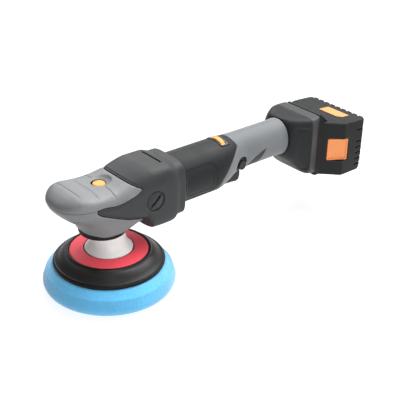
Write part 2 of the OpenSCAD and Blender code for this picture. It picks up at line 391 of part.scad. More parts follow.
CELLS = [for (k = [0, 1]) for (i = k == 0 ? [-1 : 1] : [-2 : 2]) [338.2 + 18.3 * k - (abs(i) == 1 ? 4.4 : 0), 17.75 * i]];
module battery_cells() color("#3f7f9a") for (c = CELLS) translate([c[0], c[1], 56.2]) { cylinder(r = 9, h = 64); translate([0, 0, 63.9]) cylinder(r = 3, h = 0.8); }
module cell_holder() color(dark) difference() {
  box(325, 364.8, -45, 45, 84, 95);
  for (c = CELLS) translate([c[0], c[1], 80]) cylinder(r = 9.04, h = 20);
  for (s = [-1, 1]) shoulder(s) { translate([-20, -2.2, 70]) cube([70, 30, 40]); translate([-20, -9, 70]) cube([36, 30, 40]); }
  for (s = [-1, 1]) notch(s) translate([-12, -9, 70]) cube([52, 30, 40]);
}
module battery_board() color(green) { box(323.55, 324.6, -24, 24, 60, 83.8); }
module battery_screws() color(steel) for (y = [-40, 40]) for (z = [Z0 + 8, Z1 - 8]) difference() { xcyl(331, 338.5, 1.45, y, z); }
module release(s) color(orange) notch(s) union() {
  translate([0.5, -2.4, 73]) cube([NL - 1.2, 2.2, 29]);
  difference() { translate([0.5, -0.3, 73]) cube([NL - 1.2, 0.9, 29]); translate([2, -0.2, 74.5]) cube([NL - 4.2, 2, 26]); }
  translate([NL - 1.8, -1.3, 71]) cylinder(r = 0.6, h = 33);
  translate([2.5, -5.4, 83]) cube([5, 3.2, 9]);
}
module release_button_left() release(-1);
module release_button_right() release(1);

foam_pad();
hook_face();
backing_plate();
plate_ring();
plate_hub();
plate_bolt();
output_spindle();
eccentric_bearings();
drive_spindle();
counterweight();
ring_gear();
gear_case();
bearing_retainer();
retainer_screws();
spindle_lower_bearing();
spindle_upper_bearing();
pinion_bearing();
pinion_gear();
rotor_shaft();
rotor_core();
cooling_fan();
stator_core();
stator_windings();
motor_rear_bracket();
motor_rear_bearing();
head_cover();
head_lower_cover();
head_skirt();
front_housing();
side_plugs();
housing_screws();
spindle_lock_button();
spindle_lock_pin();
spindle_lock_spring();
handle_left();
handle_right();
grip_left();
grip_right();
grip_inlays();
handle_screws();
dial_bezel();
speed_dial();
speed_control();
trigger();
trigger_pin();
switch_body();
lock_button();
control_module();
wiring();
terminal_block();
terminal_blades();
battery_front_case();
battery_rear_case();
battery_bumper();
battery_cells();
cell_holder();
battery_board();
battery_screws();
release_button_left();
release_button_right();
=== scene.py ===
import json
import math
import time

import bmesh
import bpy
import numpy as np
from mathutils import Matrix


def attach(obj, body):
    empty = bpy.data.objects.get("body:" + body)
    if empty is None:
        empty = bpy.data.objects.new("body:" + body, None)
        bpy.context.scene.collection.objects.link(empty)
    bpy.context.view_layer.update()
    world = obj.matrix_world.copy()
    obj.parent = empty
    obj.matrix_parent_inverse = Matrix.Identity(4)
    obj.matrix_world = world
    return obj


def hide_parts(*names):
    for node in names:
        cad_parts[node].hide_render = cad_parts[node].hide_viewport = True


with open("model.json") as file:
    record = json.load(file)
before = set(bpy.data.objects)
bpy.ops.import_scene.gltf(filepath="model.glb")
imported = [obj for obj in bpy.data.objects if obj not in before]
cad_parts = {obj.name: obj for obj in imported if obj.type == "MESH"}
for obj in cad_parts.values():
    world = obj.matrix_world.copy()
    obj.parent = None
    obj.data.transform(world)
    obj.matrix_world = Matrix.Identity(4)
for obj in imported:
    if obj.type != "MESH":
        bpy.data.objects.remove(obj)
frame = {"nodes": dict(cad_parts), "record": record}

import openvdb
from mathutils import Matrix, Vector

T0 = time.perf_counter()
NODES, REC = frame["nodes"], frame["record"]
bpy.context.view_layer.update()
F = np.float32
scene = bpy.context.scene
scene.view_settings.view_transform = "Standard"
scene.view_settings.look = "None"


# ------------------------------------------------------------------ numbers and fields (millimetres)
def curve(pts):
    """A smooth curve through (x, y) points that never overshoots, as a function of an array."""
    x, y = np.array([p[0] for p in pts], float), np.array([p[1] for p in pts], float)
    h = np.diff(x)
    d = np.diff(y) / h
    m = np.zeros_like(y)
    a, b = np.where(d[:-1] == 0, 1, d[:-1]), np.where(d[1:] == 0, 1, d[1:])
    m[1:-1] = np.where(d[:-1] * d[1:] > 0, 3 * (h[:-1] + h[1:]) / ((2 * h[1:] + h[:-1]) / a + (h[1:] + 2 * h[:-1]) / b), 0)
    m[0], m[-1] = d[0], d[-1]

    def f(t):
        t = np.clip(np.asarray(t, float), x[0], x[-1])
        i = np.clip(np.searchsorted(x, t) - 1, 0, len(h) - 1)
        s = (t - x[i]) / h[i]
        return (1 + 2 * s) * (1 - s) ** 2 * y[i] + s * (1 - s) ** 2 * h[i] * m[i] + s * s * (3 - 2 * s) * y[i + 1] + s * s * (s - 1) * h[i] * m[i + 1]

    return f


def smin(a, b, k):
    h = np.clip(0.5 + 0.5 * (b - a) / k, 0, 1)
    return b + (a - b) * h - k * h * (1 - h)


def smax(a, b, k):
    return -smin(-a, -b, k)


def step(a, b, t):
    s = np.clip((t - a) / (b - a), 0, 1)
    return s * s * (3 - 2 * s)


class Grid:
    def __init__(self, lo, hi, h):
        self.lo, self.h = np.array(lo, float), h
        self.n = np.ceil((np.array(hi, float) - self.lo) / h).astype(int) + 1
        ax = [(self.lo[k] + h * np.arange(self.n[k])).astype(F) for k in range(3)]
        self.x, self.y, self.z = ax[0][:, None, None], ax[1][None, :, None], ax[2][None, None, :]


def loft(g, st):
    """Distance, true near the surface, to a smooth body through stations [x, w, zt, zb, zc, nt, nb]."""
    t = g.x[:, 0, 0]
    w, zt, zb, zc, nt, nb = [curve([(s[0], s[k]) for s in st])(t).astype(F)[:, None, None] for k in range(1, 7)]
    up = g.z >= zc
    hh, n = np.where(up, zt - zc, zc - zb), np.where(up, nt, nb).astype(F)
    r = ((np.abs(g.y) / w) ** n + (np.abs(g.z - zc) / hh) ** n) ** (1 / n)
    gx, gy, gz = np.gradient(r, g.h)
    return ((r - 1) / np.sqrt(gx * gx + gy * gy + gz * gz + 1e-12)).astype(F)


def poly(P, u, v):
    """Distance to a closed polygon in a plane, negative inside, on a grid u (n,1) by v (1,m)."""
    P = np.asarray(P, float)
    d2, s = np.full((u.shape[0], v.shape[1]), 1e12), np.ones((u.shape[0], v.shape[1]))
    for (ax, ay), (bx, by) in zip(P, np.roll(P, -1, 0)):
        ex, ey, wx, wy = bx - ax, by - ay, u - ax, v - ay
        t = np.clip((wx * ex + wy * ey) / (ex * ex + ey * ey), 0, 1)
        dx, dy = wx - ex * t, wy - ey * t
        d2 = np.minimum(d2, dx * dx + dy * dy)
        c1, c2, c3 = v >= ay, v < by, ex * wy > ey * wx
        s = np.where((c1 & c2 & c3) | (~c1 & ~c2 & ~c3), -s, s)
    return (s * np.sqrt(d2)).astype(F)


def blur(A, r):
    """Rounds the corners of a field by about r cells."""
    k = np.exp(-0.5 * (np.arange(-3 * r, 3 * r + 1) / r) ** 2)
    k /= k.sum()
    m = 3 * r
    for axis in (0, 1):
        B = np.pad(A, [(m, m) if i == axis else (0, 0) for i in (0, 1)], mode="reflect", reflect_type="odd")
        A = sum(k[i] * (B[i : i + A.shape[0]] if axis == 0 else B[:, i : i + A.shape[1]]) for i in range(2 * m + 1))
    return A.astype(F)


def spline(P, n=8):
    """A round curve through points, ends kept."""
    P = [np.array(p, float) for p in P]
    P = [2 * P[0] - P[1], *P, 2 * P[-1] - P[-2]]
    out = []
    for i in range(1, len(P) - 2):
        a, b, c, d = P[i - 1 : i + 3]
        ta, tb, tc = [np.linalg.norm(q - p) ** 0.5 + 1e-6 for p, q in ((a, b), (b, c), (c, d))]
        t0, t1, t2, t3 = 0, ta, ta + tb, ta + tb + tc
        for t in np.linspace(t1, t2, n, endpoint=False):
            A1 = (t1 - t) / (t1 - t0) * a + (t - t0) / (t1 - t0) * b
            A2 = (t2 - t) / (t2 - t1) * b + (t - t1) / (t2 - t1) * c
            A3 = (t3 - t) / (t3 - t2) * c + (t - t2) / (t3 - t2) * d
            B1 = (t2 - t) / (t2 - t0) * A1 + (t - t0) / (t2 - t0) * A2
            B2 = (t3 - t) / (t3 - t1) * A2 + (t - t1) / (t3 - t1) * A3
            out.append((t2 - t) / (t2 - t1) * B1 + (t - t1) / (t2 - t1) * B2)
    out.append(P[-2])
    return [tuple(p) for p in out]


def rrect(u, v, u0, u1, v0, v1, r):
    """Distance to a rectangle with round corners."""
    a = np.abs(u - (u0 + u1) / 2) - (u1 - u0) / 2 + r
    b = np.abs(v - (v0 + v1) / 2) - (v1 - v0) / 2 + r
    return np.sqrt(np.maximum(a, 0) ** 2 + np.maximum(b, 0) ** 2) + np.minimum(np.maximum(a, b), 0) - r


def boxf(g, x0, x1, y0, y1, z0, z1):
    return np.maximum(np.maximum(np.abs(g.x - (x0 + x1) / 2) - (x1 - x0) / 2, np.abs(g.y - (y0 + y1) / 2) - (y1 - y0) / 2), np.abs(g.z - (z0 + z1) / 2) - (z1 - z0) / 2)


# ------------------------------------------------------------------ meshes
def put(me, name, mats, body, nodes=()):
    ob = bpy.data.objects.new(name, me)
    scene.collection.objects.link(ob)
    for m in mats if isinstance(mats, (list, tuple)) else [mats]:
        me.materials.append(m)
    if nodes:
        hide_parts(*nodes)
    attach(ob, body)
    return ob


def sample(D, I):
    I = np.clip(I, 0, np.array(D.shape) - 1.001)
    i = I.astype(np.int32)
    f = (I - i).astype(F)
    out = 0
    for a in (0, 1):
        for b in (0, 1):
            for c in (0, 1):
                w = (f[:, 0] if a else 1 - f[:, 0]) * (f[:, 1] if b else 1 - f[:, 1]) * (f[:, 2] if c else 1 - f[:, 2])
                out = out + w * D[i[:, 0] + a, i[:, 1] + b, i[:, 2] + c]
    return out


def big_parts(n, faces):
    """Which points belong to a connected part that isn't a crumb."""
    lab = np.arange(n)
    e = np.concatenate([np.stack([f[:, i], f[:, (i + 1) % f.shape[1]]], 1) for f in faces if len(f) for i in range(f.shape[1])])
    while True:
        old = lab.copy()
        m = np.minimum(lab[e[:, 0]], lab[e[:, 1]])
        np.minimum.at(lab, e[:, 0], m)
        np.minimum.at(lab, e[:, 1], m)
        lab = lab[lab]
        lab = lab[lab]
        if (lab == old).all():
            break
    return np.bincount(lab, minlength=n)[lab] >= 90


def skin(name, D, g, mats, body, nodes=(), adapt=0.0):
    """The surface of a field as a closed mesh, with the field's own normals."""
    D = np.array(np.broadcast_to(D, tuple(g.n)), F)
    far = F(3 * g.h)
    for k in range(3):
        s = [slice(None)] * 3
        for e in (0, -1):
            s[k] = e
            D[tuple(s)] = np.maximum(D[tuple(s)], 0.6 * g.h)
    vg = openvdb.FloatGrid(float(far))
    vg.copyFromArray(np.ascontiguousarray(np.clip(D, -far, far)))
    P, T, Q = vg.convertToPolygons(isovalue=0.0, adaptivity=6 * adapt)
    T, Q = T.astype(np.int64), Q.astype(np.int64)
    keep = big_parts(len(P), [T, Q])
    new = np.cumsum(keep) - 1
    T, Q = new[T[keep[T[:, 0]]]] if len(T) else T, new[Q[keep[Q[:, 0]]]]
    P = P[keep]
    N = np.stack([sample(D, P + o) - sample(D, P - o) for o in 0.6 * np.eye(3)], 1)
    N /= np.maximum(np.linalg.norm(N, axis=1, keepdims=True), 1e-9)
    V = (P * g.h + g.lo) * 1e-3
    me = bpy.data.meshes.new(name)
    me.from_pydata(V.tolist(), [], T.tolist() + Q.tolist())
    me.polygons.foreach_set("use_smooth", [True] * len(me.polygons))
    me.normals_split_custom_set_from_vertices(N.tolist())
    me.update()
    print("piece", name, len(me.polygons), "faces", round(time.perf_counter() - T0, 1), "s", flush=True)
    return put(me, name, mats, body, nodes)


def lathe(name, prof, mats, body, cx=0.0, n=192, nodes=(), closed=True, shift=None, smooth=40, pick=None):
    """A profile of (r, z) points turned round a vertical axis at x = cx. A point at r = 0 becomes a pole."""
    V, rows = [], []
    for r, z in prof:
        if r < 1e-6:
            rows.append([len(V)])
            V.append((cx, 0.0, z))
        else:
            rows.append(list(range(len(V), len(V) + n)))
            for i in range(n):
                a = 2 * math.pi * i / n
                V.append((cx + r * math.cos(a), r * math.sin(a), z))
    faces = []
    pairs = list(zip(rows, rows[1:])) + ([(rows[-1], rows[0])] if closed and len(rows[0]) > 1 else [])
    for a, b in pairs:
        for i in range(n):
            j = (i + 1) % n
            if len(a) == 1:
                faces.append((a[0], b[j], b[i]))
            elif len(b) == 1:
                faces.append((a[i], a[j], b[0]))
            else:
                faces.append((a[i], a[j], b[j], b[i]))
    V = np.array(V, float)
    if shift is not None:
        V = shift(V)
    me = bpy.data.meshes.new(name)
    me.from_pydata((V * 1e-3).tolist(), [], faces)
    bm = bmesh.new()
    bm.from_mesh(me)
    bmesh.ops.recalc_face_normals(bm, faces=bm.faces)
    bm.to_mesh(me)
    bm.free()
    me.polygons.foreach_set("use_smooth", [True] * len(me.polygons))
    me.set_sharp_from_angle(angle=math.radians(smooth))
    if pick:
        for f in me.polygons:
            c = f.center * 1e3
            f.material_index = pick(math.hypot(c.x - cx, c.y), c.z)
    return put(me, name, mats, body, nodes)


def rounded(P, r=0.4, n=4):
    """A polyline with each inner corner turned into a small arc."""
    P = [np.array(p, float) for p in P]
    out = [P[0]]
    for a, b, c in zip(P, P[1:], P[2:]):
        u, v = a - b, c - b
        lu, lv = np.linalg.norm(u), np.linalg.norm(v)
        d = min(r, 0.45 * lu, 0.45 * lv)
        p, q = b + u / lu * d, b + v / lv * d
        out += [(1 - t) ** 2 * p + 2 * t * (1 - t) * b + t * t * q for t in np.linspace(0, 1, n)]
    out.append(P[-1])
    return [tuple(p) for p in out]


# ------------------------------------------------------------------ materials
def lin(r, g, b):
    f = lambda c: c / 12.92 if c <= 0.04045 else ((c + 0.055) / 1.055) ** 2.4
    return [f(v / 255) for v in (r, g, b)] + [1.0]


def material(name, rgb, rough=0.5, metal=0.0, spec=0.5, grain=1500.0, bump=0.2, depth=0.0002, vary=0.12, rvary=0.07, wide=45.0, edge=0.0, kind="noise", coat=0.0, sheen=0.0, lines=None):
    """Moulded, cast or foamed stuff: fine grain in the surface, slow changes of tone and gloss, and painted highlights
    that lighten sharp convex edges.
    """
    m = bpy.data.materials.new(name)
    m.use_nodes = True
    nt = m.node_tree
    b = nt.nodes["Principled BSDF"]
    new, link = nt.nodes.new, nt.links.new
    b.inputs["Metallic"].default_value = metal
    b.inputs["Specular IOR Level"].default_value = spec
    if coat:
        b.inputs["Coat Weight"].default_value = coat
        b.inputs["Coat Roughness"].default_value = 0.12
    if sheen:
        b.inputs["Sheen Weight"].default_value = sheen
        b.inputs["Sheen Roughness"].default_value = 0.5
    co = new("ShaderNodeTexCoord").outputs["Object"]
    slow = new("ShaderNodeTexNoise")
    slow.inputs["Scale"].default_value = wide
    slow.inputs["Detail"].default_value = 4.0
    link(co, slow.inputs["Vector"])
    if kind == "cells":
        fine = new("ShaderNodeTexVoronoi")
        fine.inputs["Scale"].default_value = grain
        link(co, fine.inputs["Vector"])
        fine_out = fine.outputs["Distance"]
    else:
        fine = new("ShaderNodeTexNoise")
        fine.inputs["Scale"].default_value = grain
        fine.inputs["Detail"].default_value = 2.0
        link(co, fine.inputs["Vector"])
        fine_out = fine.outputs["Fac"]
    c = lin(*rgb)
    tone = new("ShaderNodeValToRGB")
    tone.color_ramp.elements[0].position, tone.color_ramp.elements[1].position = 0.3, 0.7
    tone.color_ramp.elements[0].color = [v * (1 - vary) for v in c[:3]] + [1]
    tone.color_ramp.elements[1].color = [min(1, v * (1 + vary)) for v in c[:3]] + [1]
    link(slow.outputs["Fac"], tone.inputs["Fac"])
    col = tone.outputs["Color"]
    speck = new("ShaderNodeMixRGB")
    speck.blend_type = "MULTIPLY"
    ramp = new("ShaderNodeValToRGB")
    lo = 0.55 if kind == "cells" else 0.82
    ramp.color_ramp.elements[0].position, ramp.color_ramp.elements[1].position = (0.05, 0.55) if kind == "cells" else (0.3, 0.65)
    ramp.color_ramp.elements[0].color = (1, 1, 1, 1) if kind == "cells" else (lo, lo, lo, 1)
    ramp.color_ramp.elements[1].color = (lo + 0.25, lo + 0.27, lo + 0.29, 1) if kind == "cells" else (1, 1, 1, 1)
    link(fine_out, ramp.inputs["Fac"])
    speck.inputs["Fac"].default_value = 0.75 if kind == "cells" else 0.5
    link(col, speck.inputs["Color1"])
    link(ramp.outputs["Color"], speck.inputs["Color2"])
    col = speck.outputs["Color"]
    # painted highlight: convex edges (high pointiness) are lightened, standing in for the light they catch
    if edge:
        geo = new("ShaderNodeNewGeometry")
        er = new("ShaderNodeValToRGB")
        er.color_ramp.elements[0].position, er.color_ramp.elements[1].position = 0.515, 0.60
        er.color_ramp.elements[0].color, er.color_ramp.elements[1].color = (0, 0, 0, 1), (edge, edge, edge, 1)
        link(geo.outputs["Pointiness"], er.inputs["Fac"])
        edge_highlight = new("ShaderNodeMixRGB")
        edge_highlight.blend_type = "SCREEN"
        edge_highlight.inputs["Fac"].default_value = 1.0
        link(col, edge_highlight.inputs["Color1"])
        link(er.outputs["Color"], edge_highlight.inputs["Color2"])
        col = edge_highlight.outputs["Color"]
    link(col, b.inputs["Base Color"])
    rr = new("ShaderNodeMapRange")
    rr.inputs["From Min"].default_value, rr.inputs["From Max"].default_value = 0.3, 0.7
    rr.inputs["To Min"].default_value, rr.inputs["To Max"].default_value = max(0.03, rough - rvary), min(1.0, rough + rvary)
    link(slow.outputs["Fac"], rr.inputs["Value"])
    link(rr.outputs["Result"], b.inputs["Roughness"])
    bp = new("ShaderNodeBump")
    bp.inputs["Strength"].default_value = bump
    bp.inputs["Distance"].default_value = depth
    bp.invert = kind == "cells"
    link(fine_out, bp.inputs["Height"])
    last = bp
    if lines:
        # turned or knurled lines round an upright axis
        cx, scale = lines
        mp = new("ShaderNodeMapping")
        mp.inputs["Location"].default_value = (-cx, 0, 0)
        link(co, mp.inputs["Vector"])
        wv = new("ShaderNodeTexWave")
        wv.wave_type, wv.rings_direction = "RINGS", "Z"
        wv.inputs["Scale"].default_value = scale
        wv.inputs["Distortion"].default_value = 0.6
        wv.inputs["Detail"].default_value = 1.0
        link(mp.outputs["Vector"], wv.inputs["Vector"])
        b2 = new("ShaderNodeBump")
        b2.inputs["Strength"].default_value = 0.12
        b2.inputs["Distance"].default_value = 0.00015
        link(wv.outputs["Fac"], b2.inputs["Height"])
        link(bp.outputs["Normal"], b2.inputs["Normal"])
        last = b2
    link(last.outputs["Normal"], b.inputs["Normal"])
    return m


M_GREY = material("grey_shell_m", (121, 123, 125), 0.44, spec=0.42, grain=2600, bump=0.16, depth=0.00012, vary=0.05, edge=0.05)
M_TUBE = material("black_tube_m", (44, 45, 46), 0.44, spec=0.12, grain=2400, bump=0.22, depth=0.00014, vary=0.08, edge=0.05)
# painted light: a lighter copy of the black plastic for the foot's rim band, standing in for the light that band
# catches
M_BAND_LIT = material("rim_m", (66, 67, 68), 0.42, spec=0.24, grain=900, bump=0.10, depth=0.0002, vary=0.05)
M_LIP = material("dial_lip_m", (36, 37, 39), 0.34, spec=0.3, grain=1600, bump=0.05, vary=0.06)
M_BLACK = material("black_shell_m", (58, 59, 60), 0.45, spec=0.18, grain=2400, bump=0.22, depth=0.00014, vary=0.08, edge=0.05)
M_GRIP = material("grey_grip_m", (116, 119, 121), 0.58, spec=0.28, grain=2000, bump=0.28, depth=0.00016, vary=0.05, edge=0.06, sheen=0.15)
M_BATT = material("battery_shell_m", (34, 35, 36), 0.42, spec=0.16, grain=2200, bump=0.22, depth=0.00014, vary=0.08, edge=0.06)
M_TRIM = material("black_trim_m", (40, 41, 42), 0.46, spec=0.35, grain=2000, bump=0.15, vary=0.08, edge=0.04)
M_RUBBER = material("skirt_rubber_m", (17, 17, 18), 0.6, spec=0.25, grain=1400, bump=0.2, vary=0.15)
M_PLATE = material("plate_rubber_m", (31, 30, 30), 0.42, spec=0.36, grain=900, bump=0.12, depth=0.0002, vary=0.22, wide=28, rvary=0.12)
# painted shade: near-black copy of the plate rubber, standing in for the shade at the plate's rim and round the red
# ring
M_RIM_SHADE = material("plate_rim_shade_m", (9, 9, 9), 0.55, spec=0.22, grain=900, bump=0.1, vary=0.15)
M_RED = material("red_ring_m", (254, 84, 98), 0.55, spec=0.22, grain=1500, bump=0.05, vary=0.08, wide=20)
M_HUB = material("hub_metal_m", (240, 240, 239), 0.40, metal=0.0, spec=0.5, grain=1800, bump=0.05, vary=0.03, lines=(0.0075, 260))
# painted shade: near-black material for the floors of the battery's side slots
M_SLOT_SHADE = material("battery_slot_shade_m", (8, 8, 9), 0.6, spec=0.06, grain=2200, bump=0.1, depth=0.0001, vary=0.04, edge=0.0)
M_FOAM = material("foam_m", (106, 200, 252), 0.85, spec=0.2, grain=620, bump=0.55, depth=0.0006, vary=0.06, kind="cells", sheen=0.6)
M_HOOK = material("hook_m", (22, 22, 24), 0.9, spec=0.1, grain=900, bump=0.6, depth=0.0005, vary=0.2, sheen=0.4)
M_ORANGE = material("orange_m", (250, 164, 66), 0.42, spec=0.5, grain=1500, bump=0.06, vary=0.05)
M_PRESS = material("orange_button_m", (255, 158, 92), 0.5, spec=0.45, grain=1800, bump=0.12, vary=0.05)
M_PATCH = material("orange_patch_m", (212, 152, 88), 0.45, spec=0.45, grain=1200, bump=0.05, vary=0.04)
# painted shade: the foam's side below its edge is darkened by height, standing in for the shade on its steeper lower
# wall
nt = M_FOAM.node_tree
pb = next(n for n in nt.nodes if n.type == "BSDF_PRINCIPLED")
src = pb.inputs["Base Color"].links[0].from_socket
oc, sp, ramp, mul = (nt.nodes.new(k) for k in ("ShaderNodeTexCoord", "ShaderNodeSeparateXYZ", "ShaderNodeMapRange", "ShaderNodeVectorMath"))
mul.operation = "SCALE"
for name, val in (("From Min", 0.0206), ("From Max", 0.0224), ("To Min", 0.82), ("To Max", 1.0)):
    ramp.inputs[name].default_value = val
nt.links.new(oc.outputs["Object"], sp.inputs[0])
nt.links.new(sp.outputs["Z"], ramp.inputs["Value"])
nt.links.new(src, mul.inputs[0])
nt.links.new(ramp.outputs["Result"], mul.inputs["Scale"])
nt.links.new(mul.outputs["Vector"], pb.inputs["Base Color"])
BY_SLOT = {
    "foam": M_FOAM, "hook": M_HOOK, "plate_rubber": M_PLATE, "red_ring": M_RED, "hub_metal": M_HUB,
    "steel": material("steel_m", (168, 170, 174), 0.3, metal=1.0, grain=700, bump=0.08, vary=0.06),
    "bearing_steel": material("bearing_m", (200, 201, 204), 0.16, metal=1.0, grain=900, bump=0.04, vary=0.04),
    "cast": material("cast_m", (104, 104, 106), 0.6, metal=0.8, grain=500, bump=0.35, vary=0.15),
    "gear_steel": material("gear_m", (140, 140, 143), 0.32, metal=1.0, grain=700, bump=0.1, vary=0.1),
    "cast_alloy": material("alloy_m", (176, 178, 181), 0.5, metal=0.9, grain=520, bump=0.3, vary=0.1),
    "dark_screw": material("screw_m", (58, 58, 61), 0.38, metal=0.9, grain=800, bump=0.1, vary=0.12),
    "lamination": material("lamination_m", (96, 97, 100), 0.45, metal=0.8, grain=1600, bump=0.2, vary=0.1),
    "dark_plastic": M_TRIM,
    "copper": material("copper_m", (186, 104, 56), 0.3, metal=0.9, grain=1200, bump=0.3, vary=0.12),
    "grey_shell": M_GREY, "skirt_rubber": M_RUBBER, "black_shell": M_BLACK, "orange": M_ORANGE, "grey_grip": M_GRIP,
    "board": material("board_m", (34, 92, 54), 0.4, grain=600, bump=0.1, vary=0.12),
    "black_trim": M_TRIM,
    "wire": material("wire_m", (176, 34, 34), 0.45, grain=700, bump=0.1, vary=0.1),
    "brass": material("brass_m", (206, 170, 92), 0.28, metal=1.0, grain=700, bump=0.06, vary=0.08),
    "battery_shell": M_BATT,
    "cell_wrap": material("cell_m", (58, 128, 150), 0.28, grain=500, bump=0.05, vary=0.08),
    "orange_button": M_PRESS,
}
for sub in REC["subparts"]:
    ob = NODES[sub["node"]]
    m = BY_SLOT[sub["material_slot"]]
    if not ob.data.materials:
        ob.data.materials.append(m)
    for i in range(len(ob.material_slots)):
        ob.material_slots[i].material = m

# ------------------------------------------------------------------ head and front housing
NOSE_X = [-63, -62, -60, -56, -50, -43, -35, -25, -12, 0, 12, 22, 36]
NOSE_T = [121.6, 123.8, 126, 128.3, 130.6, 132, 132.3, 131.2, 130.3, 130.8, 132.8, 135, 138.4]
c_b = lambda x: np.interp(x, [-63, -62, -60, -56, -50, -43, -31, -15, 0, 20, 36], [117, 115.5, 112.5, 108, 102.5, 97, 91, 86, 82, 80, 79])
c_c = lambda x: np.interp(x, [-63, -40, -15, 0, 20, 36], [119.5, 118.5, 114, 111, 107, 105])
c_n = lambda x: np.interp(x, [-63, -56, -45, -20, 20, 36], [2.2, 2.7, 3.4, 3.3, 3.3, 3.9])
nose_w = lambda x: 35 * math.sqrt(max(0.0, 1 - ((x + 31) / 32.3) ** 2)) if x < -31 else 35.0
BODY = [[x, nose_w(x), t, c_b(x), c_c(x), c_n(x), 2.2 + (x / 36 if x > 0 else 0)] for x, t in zip(NOSE_X, NOSE_T)]
BODY[-1] = [36, 35, 138.4, 79, 105, 3.9, 3.2]
BODY += [[42, 35, 139.5, 71, 105, 4.1, 4.2], [47, 35, 140, 67, 105, 4.3, 5], [70, 34.8, 139.8, 66, 105, 4.4, 5.2], [76, 34.6, 137.9, 67, 105, 4.2, 5.2],
         [80, 33.6, 136.9, 70.6, 105, 4, 5.4], [84, 33, 137, 71.8, 105, 4, 5.5], [90.5, 32.9, 137, 72, 105, 4, 5.6]]


def body_field(g):
    t = g.x[:, 0, 0].astype(float)
    st = np.array(BODY)
    par = [curve(list(zip(st[:, 0], st[:, k])))(t) for k in range(1, 7)]
    par[0] = np.where(t < -31, 35 * np.sqrt(np.maximum(1 - ((t + 31) / 32.3) ** 2, 1e-4)), par[0])
    w, zt, zb, zc, nt, nb = [p.astype(F)[:, None, None] for p in par]
    up = g.z >= zc
    hh, n = np.where(up, zt - zc, zc - zb), np.where(up, nt, nb).astype(F)
    r = ((np.abs(g.y) / w) ** n + (np.abs(g.z - zc) / hh) ** n) ** (1 / n)
    gx, gy, gz = np.gradient(r, g.h)
    D = (r - 1) / np.sqrt(gx * gx + gy * gy + gz * gz + 1e-12)
    return smax(D, -63.2 - g.x, 1.5).astype(F)


def neck_field(g):
    bm = bmesh.new()
    for i in range(96):
        a = 2 * math.pi * i / 96
        for z, r in ((73.5, 26.4), (76.2, 26.8)):
            bm.verts.new((r * math.cos(a), r * math.sin(a), z))
    for x, w, top in ((-31, 33.6, 4), (-13, 33.6, 4), (9, 33.6, 4), (36, 33, 6)):
        zc, zb, nb = float(c_c(x)), float(c_b(x)), 2.2 + (x / 36 if x > 0 else 0)
        for i in range(72):
            a = 2 * math.pi * i / 72
            c, s = math.cos(a), math.sin(a)
            n, h = (2.4, top) if s >= 0 else (nb, zc - zb - 0.6)
            bm.verts.new((x, w * math.copysign(abs(c) ** (2 / n), c), zc + h * math.copysign(abs(s) ** (2 / n), s)))
    r = bmesh.ops.convex_hull(bm, input=bm.verts)
    bmesh.ops.delete(bm, geom=[v for v in bm.verts if not v.link_faces], context="VERTS")
    bmesh.ops.triangulate(bm, faces=bm.faces)
    bmesh.ops.recalc_face_normals(bm, faces=bm.faces)
    bm.verts.index_update()
    P = np.array([v.co[:] for v in bm.verts], F) - g.lo.astype(F)
    T = np.array([[v.index for v in f.verts] for f in bm.faces], np.uint32)
    bm.free()
    ls = openvdb.FloatGrid.createLevelSetFromPolygons(P, triangles=T, transform=openvdb.createLinearTransform(g.h), halfWidth=12.0)
    A = np.zeros(tuple(g.n), F)
    ls.copyToArray(A)
    return A


g = Grid((-67, -37.5, 70), (92.5, 37.5, 143), 0.5)
form = smin(body_field(g), neck_field(g), 2.5)
form = smax(form, g.x - 90.4, 1.6)
u, v = g.x[:, 0, :], g.z[0, :, :]
HORN = [(16, 165)] + spline([(16, 133), (22.6, 128.7), (31, 124)], 6) + spline([(31, 124), (22, 119.6), (10, 117), (-4, 116), (-22, 118.4), (-27, 117.6), (-28, 115.4), (-25, 111.6), (-13, 105), (0, 98.6), (13, 92.6), (33, 86), (36, 81)], 8)[1:] + [(37, 50), (110, 50), (110, 165)]
horn = blur(poly(HORN, u, v), 1)[:, None, :]
deep = form + 2.6

# grey covers: cross grooves, the scoop round the button, the lip of the nose
grey = form.copy()
top = step(118, 126, g.z)
for xg, half, off in ((-40.2, 24, 3), (-22, 26, -4), (-4, 34, 0)):
    fade = step(half + 3, half - 6, np.abs(g.y - off))
    gap = step(10, 14, np.hypot(g.x + 3, g.y)) if xg == -4 else 1
    grey += (0.55 * np.exp(-(((g.x - xg) / 0.8) ** 2)) * top * fade * gap).astype(F)
e2 = np.sqrt(((g.x + 2.0) / 14.2) ** 2 + ((g.y - 0.4) / 14.2) ** 2 + ((g.z - 134.4) / 6.3) ** 2)
scoop = (e2 - 1) * 7.0
grey = smax(grey, -scoop, 0.7)
hole = np.maximum(np.hypot(g.x + 3.3, g.y - 0.6) - 8.2, 118 - g.z)
grey = smax(grey, -hole, 0.9)
grey = smax(grey, -np.maximum(deep, 1.6 - scoop), 0.4)
grey = smax(grey, 0.35 - horn, 1.0)
lip = 0.75 * step(-12, -42, g.x)
soft = (0.2 + 1.0 * step(-20, -44, g.x)).astype(F)
bottom = 76.0 + 3.0 * step(-11, -25, g.x)
skin("nose_cover", smax(grey, 118.66 - g.z, soft), g, M_GREY, "tool", ["head_cover"], 0.0008)
low = smax(grey + lip * step(110, 118, g.z), g.z - 118.54, soft)
skin("nose_underside", smax(smax(low, bottom - g.z, 0.7), 23.7 - np.hypot(g.x, g.y) - 100 * (g.z > 84), 0.4), g, M_GREY, "tool", ["head_lower_cover"], 0.0008)

